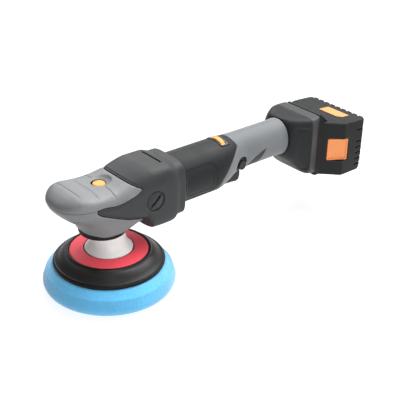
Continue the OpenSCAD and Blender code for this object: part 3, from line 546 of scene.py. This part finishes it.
# dark housing: stepped border along its edge, louvre, cap seats
rim = (0.55 * (1 - step(2.3, 3.1, -horn)) * step(60, 40, g.x)).astype(F)
dark = form + rim
flap = smax(smax(rrect(g.x, g.y, 67.3, 72.8, -17.8, 17.8, 2.4), form - (0.5 - 0.08 * (g.x - 67.3)), 0.5), 130 - g.z, 0.5)
dark = smin(dark, flap, 0.9)
slot = np.maximum(rrect(g.x, g.y, 66.0, 67.3, -16.8, 16.8, 0.6), 128 - g.z)
dark = smax(dark, -slot, 0.6)
for s in (-1, 1):
    seat = np.maximum(np.hypot(g.x - 46.95, g.z - 105) - 12.1, 32.95 - s * g.y)
    dark = smax(dark, -seat, 0.7)
    dark = smax(dark, -np.maximum(np.hypot(g.x - 47.5, g.z - 105) - 6.6, 20 - s * g.y), 0.3)
dark = smax(dark, -deep, 0.4)
dark = smax(dark, horn + 0.3, 1.0)
collar = np.maximum(np.hypot(g.y, g.z - 104) - 30.7, 84 - g.x)
dark = smax(dark, -collar, 0.3)
skin("front_shell", dark, g, M_BLACK, "tool", ["front_housing"], 0.0008)
del form, grey, dark, deep, low

# slotted caps, domed
g = Grid((35.5, -36.5, 93), (59.5, -25.5, 117), 0.35)
rr = np.hypot(g.x - 47.5, g.z - 105)
cap = smax(rr - 10.8, -g.y - (35.1 - 0.012 * rr * rr), 0.8)
cap = smax(cap, g.y + 33.0, 0.3)
cap = smin(cap, smax(rr - 6.4, np.abs(g.y + 30) - 3.4, 0.4), 0.4)
sd = (g.x - 47.5) * math.cos(math.radians(42)) + (g.z - 105) * math.sin(math.radians(42))
sn = -(g.x - 47.5) * math.sin(math.radians(42)) + (g.z - 105) * math.cos(math.radians(42))
cap = smax(cap, -smax(smax(np.abs(sn) - 1.75, np.abs(sd) - 9.8, 1.0), 31.2 + g.y, 0.3), 0.35)
a = skin("side_cap_left", cap, g, M_BLACK, "tool", ["side_plugs"], 0.0005)
me = a.data.copy()
me.transform(Matrix.Scale(-1, 4, (0, 1, 0)))
me.flip_normals()
b = put(me, "side_cap_right", [], "tool", ["side_plugs"])

# skirt ring, deeper towards the nose
lathe("skirt_ring", rounded([(24.0, 75.0), (23.7, 71.6), (25.5, 71.5), (26.4, 72.2), (26.9, 73.6), (26.9, 74.6), (26.2, 75.1), (24.0, 75.0)], 0.35, 3)[:-1], M_RUBBER, "tool", 0.0, 160, ["head_skirt"],
      shift=lambda V: np.stack([V[:, 0], V[:, 1], V[:, 2] + np.where(V[:, 2] > 74, 0.9 + 3.0 * step(-11, -25, V[:, 0]), 0)], 1))
# spindle lock button
lathe("lock_cap", rounded([(0, 129.4), (3.5, 129.36), (6.2, 129.15), (7.0, 128.6), (7.1, 126.9), (6.35, 126.85), (6.3, 128.5), (0, 128.55)], 0.4, 4), M_ORANGE, "spindle_lock", -3.0, 96, ["spindle_lock_button"], closed=False)

# ------------------------------------------------------------------ handle: tube, grip, foot
TUBE = [[88, 30.3, 134.3, 73.7, 104, 2, 2], [148, 30.3, 134.3, 73.7, 104, 2, 2], [158, 29, 134.5, 75.6, 105.2, 2, 2],
        [168, 26.4, 134.6, 79.8, 107.4, 2, 2], [180, 22.8, 134.4, 85.4, 110.2, 2.05, 2.05], [195, 20.4, 134.2, 88.6, 111.4, 2.1, 2.1],
        [250, 20.4, 134.2, 88.6, 111.4, 2.1, 2.1], [261.5, 21, 134.6, 87.8, 111.2, 2.1, 2.1]]
FOOT = [[261.5, 22.8, 135, 86.8, 111, 2.5, 2.2], [266, 27.6, 136.3, 82, 110, 3.2, 2.6], [274, 31.8, 137, 75, 106, 5, 3.4],
        [283, 34.4, 137.2, 65.4, 102, 8, 5], [289, 35.2, 137.1, 60.6, 101, 9, 6.4], [292.5, 35.3, 137, 59.4, 101, 9.4, 7], [297, 35, 136.9, 59, 101, 9.6, 7.4], [304, 34.6, 136.8, 59.2, 101, 9.8, 7.6]]
g = Grid((86, -41.5, 56.5), (306, 41.5, 139), 0.58)
tube = smax(loft(g, TUBE), g.x - 261.35, 1.2)
foot = smax(smax(loft(g, FOOT), 261.55 - g.x, 1.0), g.x - 303.9, 1.4)
panel = rrect(g.x[:, 0, :], g.z[0, :, :], 252, 287.4, 66.5, 128.5, 8)
foot = foot + (1.7 * (1 - step(-2.4, 0.4, panel)) * step(266, 274, g.x[:, 0, :])).astype(F)[:, None, :] * step(20, 27, np.abs(g.y))
foot = smax(foot, 0.95 * (np.abs(g.y) - 35.25) + 0.30 * (g.x - 288.4), 0.4)
back = smax(smax(302.4 - g.x, 26.6 - np.abs(g.y), 1.0), g.z - 129.6, 1.2)
foot = smax(foot, -back, 0.8)
form = np.minimum(tube, foot)
form = np.maximum(form, 88 - g.x)
u, v = g.x[:, 0, :], g.z[0, :, :]
GREY = [(176.6, 165), (176.6, 133.4), (179.6, 127.2), (178.6, 125.2), (171.5, 119.6), (160, 109.6), (154, 103.2), (149, 96.4), (147.6, 90), (147.6, 50), (261.42, 50), (261.42, 165)]
zone = blur(poly(GREY, u, v), 1)[:, None, :]
dish = rrect(u, v, 70, 140.5, 84, 122, 11)
panel = rrect(u, v, 95.5, 135, 89.5, 116, 7)
dent = (0.9 * (1 - step(-1.6, 1.2, dish)) + 0.55 * (1 - step(-0.5, 0.5, panel))).astype(F)[:, None, :]
TRIG_HOLE = np.maximum(np.maximum(np.abs(g.x - 179.4) - 16.0, np.abs(g.y) - 9.7), g.z - 95)
LOCK = np.hypot(g.x - 186.2, g.z - 100.8)
wheel = np.maximum(np.hypot(g.y, g.z - 117.2) - 19.5, np.maximum(np.abs(g.x - 163.4) - 3.9, np.abs(g.y) - 14 - 40 * (g.z < 122)))
thick = curve([(86, 2.6), (145.4, 2.6), (149.6, 4.2), (158, 4.4), (168, 4.6), (266, 4.6), (274, 2.8), (306, 2.6)])(g.x[:, 0, 0]).astype(F)[:, None, None]
cave = np.maximum(form + thick, g.x - 301.4)
# the tube is open at its front end and into the foot
open_ends = np.maximum(loft(g, TUBE) + np.minimum(thick, 4.6), np.minimum(g.x - 100, np.abs(g.x - 262) - 9))
cave = np.minimum(cave, open_ends)
core = form + dent
core = smax(core, -np.maximum(zone - 0.2, -(form + 2.3)), 0.8)
core = np.maximum(core, -cave)
for x, z in ((201, 127), (257, 122), (257, 103), (289, 82), (289, 126)):
    rad = np.hypot(g.x - x, g.z - z)
    core = smin(core, np.maximum(rad - 4.4, form + 1.2), 0.5)
    core = smax(core, -np.maximum(rad - 3.05, 9.4 - g.y), 0.4)
core = smax(core, -TRIG_HOLE, 0.5)
core = smax(core, -np.maximum(LOCK - 6.1, g.y + 8), 0.5)
core = np.maximum(core, -wheel)
core = smax(core, -np.maximum(rrect(g.x, g.y, 157.1, 170.5, -14.7, 14.7, 2.4), np.maximum(-(form + 1.5), 110 - g.z)), 0.4)
core = np.maximum(core, -boxf(g, 300, 306, -17.4, 17.4, 69.6, 112.4))
# seam round the foot's rim
core = smax(core, g.x - 303.9, 0.8)
for s, name in ((-1, "left"), (1, "right")):
    half = smax(core, 0.1 - s * g.y, 0.7)
    skin("handle_shell_" + name, np.maximum(half, g.x - 288.2), g, M_TUBE, "tool", ["handle_" + name], 0.0008)
    # the foot's rim takes the lighter copy of the black plastic (painted light)
    skin("foot_rim_" + name, np.maximum(half, 288.2 - g.x), g, M_BAND_LIT, "tool", ["handle_" + name], 0.0008)

grip = smax(form, zone + 0.18, 1.1)
grip = np.maximum(grip, -(form + 2.2))
grip = np.maximum(grip, -open_ends)
grip = smax(grip, -TRIG_HOLE, 0.9)
INLAY = spline([(224.8, 112.4), (213, 107.9), (205.7, 103.6), (200.2, 97.6), (199, 93.6)], 6) + [(205, 92.6)] + spline([(212.6, 92), (216.2, 96.6), (219.6, 103), (224.8, 112.4)], 6)[:-1]
fin = poly(INLAY, u, v)[:, None, :]
for s, name in ((-1, "left"), (1, "right")):
    G = smax(grip, -(fin - 0.1), 0.5)
    if s < 0:
        G = smax(G, -(np.hypot(g.x - 185, g.z - 103) - 9.4), 0.9)
    for x, z in ((201, 127), (257, 122), (257, 103)):
        if s > 0:
            G = smax(G, -np.maximum(np.hypot(g.x - x, g.z - z) - 3.1, 5 - g.y), 0.5)
    G = smax(G, 0.08 - s * g.y, 0.55)
    skin("grip_skin_" + name, G, g, M_GRIP, "tool", ["grip_" + name], 0.0008)
fins = np.maximum(smax(form + 0.5, fin + 0.05, 0.4), -(form + 2.1))
skin("grip_fins", np.maximum(fins, 5 - np.abs(g.y)), g, M_TRIM, "tool", ["grip_inlays"])
ring = np.maximum(smax(form - 0.55, -(form + 1.3), 0.4), 120 - g.z)
ring = smax(ring, rrect(g.x, g.y, 157.3, 170.3, -14.5, 14.5, 2.6), 0.8)
ring = smax(ring, -rrect(g.x, g.y, 159.6, 165.8, -12.3, 11.8, 1.6), 0.8)
skin("dial_frame", ring, g, M_LIP, "tool", ["dial_bezel"])
del form, core, grip, G, tube, foot, cave, ring, fins

# thumbwheel with ribs
g = Grid((159, -20, 97.2), (168, 20, 137.2), 0.4)
rad, ang = np.hypot(g.y, g.z - 117.2), np.arctan2(g.y, g.z - 117.2)
w = smax(rad - (18.5 + 0.26 * np.cos(36 * ang)), np.abs(g.x - 163.4) - 3.2, 1.0)
w = smax(w, -np.maximum(rad - 15.4, g.x - 161.6), 0.4)
w = np.maximum(w, 2.55 - rad)
skin("thumbwheel", w, g, M_ORANGE, "dial", ["speed_dial"], 0.0005)

# trigger
g = Grid((162.5, -10.5, 73), (195.2, 10.5, 99.5), 0.4)
u, v = g.x[:, 0, :], g.z[0, :, :]
TRIG = [(164, 78.6), (168, 76), (174, 75), (182, 74.8), (188.6, 73.8), (192.8, 75.8), (194.2, 80.6), (193.6, 89.8), (190.6, 91.4), (166, 91.4), (164.2, 87.4)]
t2 = (blur(poly(TRIG, u, v), 2) - F(0.15))[:, None, :]
t = smax(t2 + 0.05 + 0.03 * np.abs(g.y) ** 1.5 * step(84, 77, g.z), np.abs(g.y) - 9, 2.4)
t = smin(t, np.maximum(np.hypot(g.x - 181, g.y) - 2.4, np.abs(g.z - 94.3) - 3.5), 0.5)
t = np.maximum(t, 1.56 - np.hypot(g.x - 168, g.z - 87.4))
skin("trigger_lever", t, g, M_TRIM, "trigger", ["trigger"], 0.0005)

# lock button in the grip
g = Grid((179, -23.2, 94), (193.4, -12, 108), 0.32)
rad = np.hypot(g.x - 186.2, g.z - 100.8)
k = smax(rad - 5.5, -g.y - (22 - 0.012 * rad * rad), 1.4)
k = smax(k, g.y + 13, 0.3)
k = smax(k, -(smax(rad - 3.6, 21.75 + g.y, 0.5)), 0.5)
skin("grip_lock_button", k, g, M_TRIM, "lock", ["lock_button"], 0.0005)

# ------------------------------------------------------------------ battery
W, Z0, Z1 = 47.0, 52.6, 124.0
ZM, ZH = (Z0 + Z1) / 2, (Z1 - Z0) / 2
g = Grid((304, -48.7, 51), (374, 48.7, 138.5), 0.5)
u, v = g.x[:, :, 0], g.y[0, :, :].reshape(1, -1)
u = g.x[:, 0, 0][:, None]
OUT = [(306.5, -27), (314, -27), (W + 287, -W), (368.2, -W), (370.8, -W + 2.6), (370.8, W - 2.6), (368.2, W), (W + 287, W), (314, 27), (306.5, 27)]
plan = blur(poly(OUT, u, v), 2)[:, :, None]
tail = smax(smax(0.986 * (g.x - 367.8) - 0.17 * (g.z - Z0 - 4), 0.781 * (g.x - 364.6) - 0.625 * (g.z - Z0), 1.5), 0.678 * (g.x - 369.6) + 0.735 * (g.z - Z1), 0.6)
case = smax(smax(smax(plan, np.abs(g.z - ZM) - ZH, 1.3), tail, 1.2), 0.0832 * (g.x - 341) + 0.9965 * (g.z - Z1), 0.8)
hood = smax(smax(0.657 * (g.x - 308.4) + 0.754 * (g.z - 136.8), g.z - 136.8, 0.9), np.maximum(305 - g.x, np.abs(g.y) - 27.4), 0.9)
case = smin(case, np.maximum(hood, 121 - g.z), 0.6)
A, B = np.array([319.4, 32.4]), np.array([342.4, W])
L = float(np.linalg.norm(B - A))
ca, sa = (B - A) / L
field = case
# shallow panel on top, side slots, seats of the release plates
tp = rrect(g.x, g.y, 341, 362.5, -33, 39.4, 2.0)
field = field + (0.5 * (1 - step(-0.4, 0.4, tp)) * (g.z > 110)).astype(F)
for z in (62, 70, 78, 86, 94, 110):
    slotf = np.maximum(np.maximum(357.5 - g.x, np.abs(g.z - z - 0.12 * (g.x - 366)) - 0.95), np.maximum(W - 4.5 - np.abs(g.y), -(case + 0.85)))
    field = smax(field, -slotf, 0.4)
hollow = np.maximum(np.maximum(np.maximum(plan + 1.65, np.abs(g.z - ZM) - ZH + 2.2), tail + 1.65), 0.0832 * (g.x - 341) + 0.9965 * (g.z - Z1) + 1.3)
block = boxf(g, 307, 323.5, -25, 25, 53, 119)
field = np.maximum(field, -np.maximum(hollow, -block))
field = np.maximum(field, -boxf(g, 308.6, 313.4, -22.4, 22.4, 50, 112.5))
field = np.maximum(field, -boxf(g, 304, 309, -17.4, 17.4, 50, 112.5))
for y in (-12, 0, 12):
    field = np.maximum(field, -boxf(g, 313, 322, y - 1, y + 1, 50, 109))
for s in (-1, 1):
    lx = (g.x - A[0]) * ca + (s * g.y - A[1]) * sa
    ly = -(g.x - A[0]) * sa + (s * g.y - A[1]) * ca
    seat = smax(np.maximum(np.abs(lx - L / 2 - 0.4) - L / 2 - 0.4, -3.2 - ly), np.abs(g.z - 87.5) - 14.9, 0.8)
    field = smax(field, -seat, 0.7)
skin("pack_front", smax(field, g.x - 336.92, 0.6), g, M_BATT, "battery", ["battery_front_case"], 0.0008)
rear = skin("pack_rear", smax(field, 337.08 - g.x, 0.6), g, [M_BATT, M_SLOT_SHADE], "battery", ["battery_rear_case"], 0.0008).data
# painted shade: the floors of the side slots take a near-black second material, standing in for the shade inside the
# slots
c = np.empty(3 * len(rear.polygons), F)
rear.polygons.foreach_get("center", c)
c = c.reshape(-1, 3) * 1e3
d = sample(np.array(np.broadcast_to(case, tuple(g.n)), F), (c - g.lo) / g.h)
z = np.min([np.abs(c[:, 2] - k - 0.12 * (c[:, 0] - 366)) for k in (62, 70, 78, 86, 94, 110)], 0)
low = (c[:, 0] > 357.3) & (np.abs(c[:, 1]) > W - 4.6) & (z < 1.2) & (d < -0.25) & (d > -1.2)
rear.polygons.foreach_set("material_index", low.astype(np.int32))
bump = smax(rrect(g.y, g.z, -W + 3, W - 3, Z0 + 22.5, Z1 - 3.6, 3), np.abs(g.x - 371.1) - 0.4, 0.3)
ribs = smax(np.abs((g.y + 4.8 + 480) % 9.6 - 4.8) - 3.5, np.maximum(np.abs(g.x - 371.4) - 1.2, rrect(g.y, g.z, -W + 3.4, W - 3.4, Z0 + 23, Z1 - 2.4, 1.6)), 0.8)
skin("pack_bumper", smin(bump, ribs, 0.4), g, M_RUBBER, "battery", ["battery_bumper"], 0.0005)
del field, case, hollow
for s, name in ((-1, "left"), (1, "right")):
    g = Grid((317, min(s * 29, s * 50.6), 69.5), (345, max(s * 29, s * 50.6), 105.5), 0.4)
    lx = (g.x - A[0]) * ca + (s * g.y - A[1]) * sa
    ly = -(g.x - A[0]) * sa + (s * g.y - A[1]) * ca
    rim2 = rrect(lx, g.z, 0.5, L - 0.7, 73, 102, 1.6)
    p = smax(rim2, np.abs(ly + 0.9) - 1.5, 0.6)
    p = smax(p, -smax(rrect(lx, g.z, 2.2, L - 2.4, 74.9, 100.1, 1.2), -(ly + 0.75), 0.4), 0.4)
    p = p + (0.10 * (0.5 + 0.5 * np.cos(lx * 2 * math.pi / 2.6)) * (rim2 < -2.2) * (ly > -1.4)).astype(F)
    p = smin(p, np.maximum(np.hypot(lx - L + 1.8, ly + 1.3) - 0.62, np.abs(g.z - 87.5) - 16.5), 0.2)
    p = smin(p, np.maximum(np.maximum(np.abs(lx - 5) - 2.5, np.abs(ly + 3.8) - 1.6), np.abs(g.z - 87.5) - 4.5), 0.3)
    skin("release_plate_" + name, p, g, M_PRESS, "release_" + name, ["release_button_" + name], 0.0004)


def tablet(name, outline, z0, z1, mats, body):
    """A thin plate with a small bevel round its upper edge."""
    bm = bmesh.new()
    vs = [bm.verts.new((x * 1e-3, y * 1e-3, z0 * 1e-3)) for x, y in outline]
    f = bm.faces.new(vs)
    r = bmesh.ops.extrude_face_region(bm, geom=[f])
    up = [e for e in r["geom"] if isinstance(e, bmesh.types.BMVert)]
    bmesh.ops.translate(bm, verts=up, vec=(0, 0, (z1 - z0) * 1e-3))
    bmesh.ops.recalc_face_normals(bm, faces=bm.faces)
    edges = [e for e in bm.edges if all(abs(w.co.z - z1 * 1e-3) < 1e-7 for w in e.verts)]
    bmesh.ops.bevel(bm, geom=edges, offset=0.00012, segments=2, profile=0.5, affect="EDGES")
    me = bpy.data.meshes.new(name)
    bm.to_mesh(me)
    bm.free()
    me.polygons.foreach_set("use_smooth", [True] * len(me.polygons))
    me.set_sharp_from_angle(angle=math.radians(35))
    return put(me, name, mats, body, ())


def corner(x, y, a0, r=1.4, n=5):
    return [(x + r * math.cos(math.radians(a0 + 90 * i / n)), y + r * math.sin(math.radians(a0 + 90 * i / n))) for i in range(n + 1)]


patch = tablet("pack_patch", corner(359.6, 6.4, 0) + corner(344.6, 6.4, 90) + [(343.2, -22), (348.6, -28)] + corner(359.6, -26.6, 270), 123.4, 123.85, M_PATCH, "battery")
for q in patch.data.vertices:
    q.co.z -= 0.0835 * max(0.0, q.co.x - 0.341)

# ------------------------------------------------------------------ pad, plate, ring, hub
rng = np.random.default_rng(7)
E = 7.5
foam_prof = [(0, 0.02), (30, 0.0), (54, 0.0)] + spline([(61, 0.0), (64.6, 0.25), (67.6, 1.15), (71.1, 2.95), (73.2, 5.5), (74.25, 8.4), (74.4, 10.8), (74.0, 13), (72.9, 16.2), (71.9, 19.2), (71.3, 21.0), (70.9, 21.9), (70.0, 22.55), (68.6, 23.5), (66.9, 25.2), (65.2, 27.2), (64.1, 28.6), (62.6, 29.25)], 6) + [(50, 29.3), (25, 29.3), (0, 29.3)]


def cells(V):
    """Open cells: small seeded pits all over the free surface."""
    P = V.copy()
    r = np.hypot(P[:, 0] - E, P[:, 1])
    free = (r > 63.2) & (r < 75) & (P[:, 2] > 0.25) & (P[:, 2] < 29)
    d = rng.normal(0, 0.10, len(P)) * free
    c = np.maximum(r, 1e-6)
    P[:, 0] += d * (P[:, 0] - E) / c
    P[:, 1] += d * P[:, 1] / c
    P[:, 2] += 0.5 * d
    return P


q = np.array(foam_prof)
arc = np.concatenate([[0], np.cumsum(np.hypot(*np.diff(q, axis=0).T))])
ts = np.concatenate([np.linspace(0, 52, 9)[:-1], np.arange(52, arc[-1] - 52, 0.85), np.linspace(arc[-1] - 52, arc[-1], 9)])
foam_prof = list(zip(np.interp(ts, arc, q[:, 0]), np.interp(ts, arc, q[:, 1])))
pad = lathe("foam_disc", foam_prof, M_FOAM, "output", E, 420, ["foam_pad"], closed=False, shift=cells, smooth=180)
# painted shade: the outer rim band, the underside and the lip round the red ring take the near-black second material
lathe("plate_body", rounded([(4.4, 36.6), (7.2, 36.5), (7.2, 30.6), (61.6, 30.5), (62.4, 31), (62.5, 33.0), (61.9, 33.6), (61.2, 33.9), (60.9, 34.7), (60.2, 34.9), (59.6, 34.55)], 0.35, 4)
      + spline([(59.0, 34.8), (56.5, 36.9), (53.5, 39.9), (50.6, 42.2), (48.4, 43.3)], 6)
      + rounded([(47.9, 43.5), (47.3, 45.0), (46.4, 45.7), (45.2, 45.8), (44.5, 45.5), (44.15, 44.9), (44.1, 43.8), (27.1, 46.3), (4.4, 46.3)], 0.3, 4), [M_PLATE, M_RIM_SHADE], "output", E, 240, ["backing_plate"], smooth=50, pick=lambda r, z: int(r > 61.0 or z < 31 or r < 47.2))
lathe("plate_disc", rounded([(28.4, 46.25), (43.9, 43.85), (43.95, 44.7), (43.3, 45.35), (42.2, 45.62), (29.3, 47.45), (28.7, 47.45), (28.4, 47.1), (28.4, 46.25)], 0.3, 4)[:-1], M_RED, "output", E, 240, ["plate_ring"], smooth=50)
lathe("hub_cone", rounded([(8.1, 46.4), (26.9, 46.4), (27.0, 47.6), (26.6, 48.3), (25.9, 48.55)], 0.3, 4)
      + spline([(25.5, 48.9), (23.8, 50.8), (21.5, 53.9), (19.8, 57.5), (18.6, 62.0), (18.05, 68.6)], 8)
      + rounded([(18.0, 69.0), (17.5, 69.5), (15.5, 69.5), (15.5, 59.6), (14.5, 58.65), (8.1, 58.6)], 0.3, 4), M_HUB, "output", E, 200, ["plate_hub"], smooth=50)

# ------------------------------------------------------------------ floor, light, camera
bm = bmesh.new()
bmesh.ops.create_grid(bm, x_segments=8, y_segments=8, size=6.0)
me = bpy.data.meshes.new("floor")
bm.to_mesh(me)
bm.free()
floor = bpy.data.objects.new("floor", me)
floor.location = (0.15, 0, -0.0002)
scene.collection.objects.link(floor)
fm = bpy.data.materials.new("floor_m")
fm.use_nodes = True
nt = fm.node_tree
pb = nt.nodes["Principled BSDF"]
pb.inputs["Roughness"].default_value = 0.8
pb.inputs["Specular IOR Level"].default_value = 0.1
no, rp = nt.nodes.new("ShaderNodeTexNoise"), nt.nodes.new("ShaderNodeValToRGB")
no.inputs["Scale"].default_value = 2.0
rp.color_ramp.elements[0].color, rp.color_ramp.elements[1].color = (0.29, 0.29, 0.29, 1), (0.31, 0.31, 0.31, 1)
fco = nt.nodes.new("ShaderNodeTexCoord").outputs["Object"]
nt.links.new(fco, no.inputs["Vector"])
nt.links.new(no.outputs["Fac"], rp.inputs["Fac"])
nt.links.new(rp.outputs["Color"], pb.inputs["Base Color"])
# a sheet under the object that glows (painted light: its emission fills in the shadows cast on it), fading out to the
# left, to the right and in front
glow = None
for nx, ny, c in ((-0.871, 0.491, 0.165), (-0.624, -0.78, 0.21), (0.633, -0.775, 0.34)):
    d = nt.nodes.new("ShaderNodeVectorMath")
    d.operation = "DOT_PRODUCT"
    d.inputs[1].default_value = (nx, ny, 0)
    nt.links.new(fco, d.inputs[0])
    mr = nt.nodes.new("ShaderNodeMapRange")
    mr.interpolation_type = "SMOOTHSTEP"
    off = nx * 0.15
    mr.inputs["From Min"].default_value, mr.inputs["From Max"].default_value = c - off, c - off + 0.16
    mr.inputs["To Min"].default_value, mr.inputs["To Max"].default_value = 1.0, 0.35
    nt.links.new(d.outputs["Value"], mr.inputs["Value"])
    if glow is None:
        glow = mr.outputs["Result"]
    else:
        mm = nt.nodes.new("ShaderNodeMath")
        mm.operation = "MULTIPLY"
        nt.links.new(glow, mm.inputs[0])
        nt.links.new(mr.outputs["Result"], mm.inputs[1])
        glow = mm.outputs["Value"]
nt.links.new(glow, pb.inputs["Emission Color"])
pb.inputs["Emission Strength"].default_value = 0.80
me.materials.append(fm)

world = bpy.data.worlds.new("studio")
scene.world = world
world.use_nodes = True
bgn = world.node_tree.nodes["Background"]
wt = world.node_tree
tc, dot, wr = wt.nodes.new("ShaderNodeTexCoord"), wt.nodes.new("ShaderNodeVectorMath"), wt.nodes.new("ShaderNodeValToRGB")
dot.operation = "DOT_PRODUCT"
dot.inputs[1].default_value = (0.62, 0.22, 0.75)
wt.links.new(tc.outputs["Generated"], dot.inputs[0])
wt.links.new(dot.outputs["Value"], wr.inputs["Fac"])
wr.color_ramp.elements[0].position, wr.color_ramp.elements[0].color = 0.0, (0.05, 0.05, 0.05, 1)
wr.color_ramp.elements[1].position, wr.color_ramp.elements[1].color = 0.95, (1.0, 1.0, 1.0, 1)
wt.links.new(wr.outputs["Color"], bgn.inputs["Color"])
bgn.inputs["Strength"].default_value = 1.0


def area(name, loc, aim, size, power, color=(1, 1, 1)):
    d = bpy.data.lights.new(name, "AREA")
    d.shape, d.size, d.energy, d.color = "SQUARE", size, power, color
    o = bpy.data.objects.new(name, d)
    o.location = loc
    o.rotation_euler = (Vector(aim) - Vector(loc)).to_track_quat("-Z", "Y").to_euler()
    scene.collection.objects.link(o)
    return o


area("key", (1.00, -0.25, 1.15), (0.15, 0.0, 0.1), 0.8, 11)
area("top", (0.75, 0.25, 1.35), (0.15, 0.0, 0.1), 0.9, 17)
area("back", (0.60, 1.20, 1.00), (0.15, 0.0, 0.1), 0.9, 6)
area("fill", (-0.30, -0.88, 0.34), (0.10, 0.0, 0.05), 0.6, 4.9)

cam = bpy.data.cameras.new("cam")
cam.sensor_width, cam.sensor_fit, cam.lens = 36.0, "HORIZONTAL", 937.044 / 400 * 36
cam.clip_start, cam.clip_end = 0.05, 50
co = bpy.data.objects.new("cam", cam)
pitch, roll, yaw = 0.493, 0.023, 0.861
fw = Vector((math.cos(pitch) * math.cos(yaw), math.cos(pitch) * math.sin(yaw), -math.sin(pitch)))
right = fw.cross(Vector((0, 0, 1))).normalized()
up = right.cross(fw)
r_, u_ = math.cos(roll) * right + math.sin(roll) * up, -math.sin(roll) * right + math.cos(roll) * up
co.matrix_world = Matrix(((r_.x, u_.x, -fw.x, -0.497), (r_.y, u_.y, -fw.y, -0.740475), (r_.z, u_.z, -fw.z, 0.586027), (0, 0, 0, 1)))
scene.collection.objects.link(co)
scene.camera = co
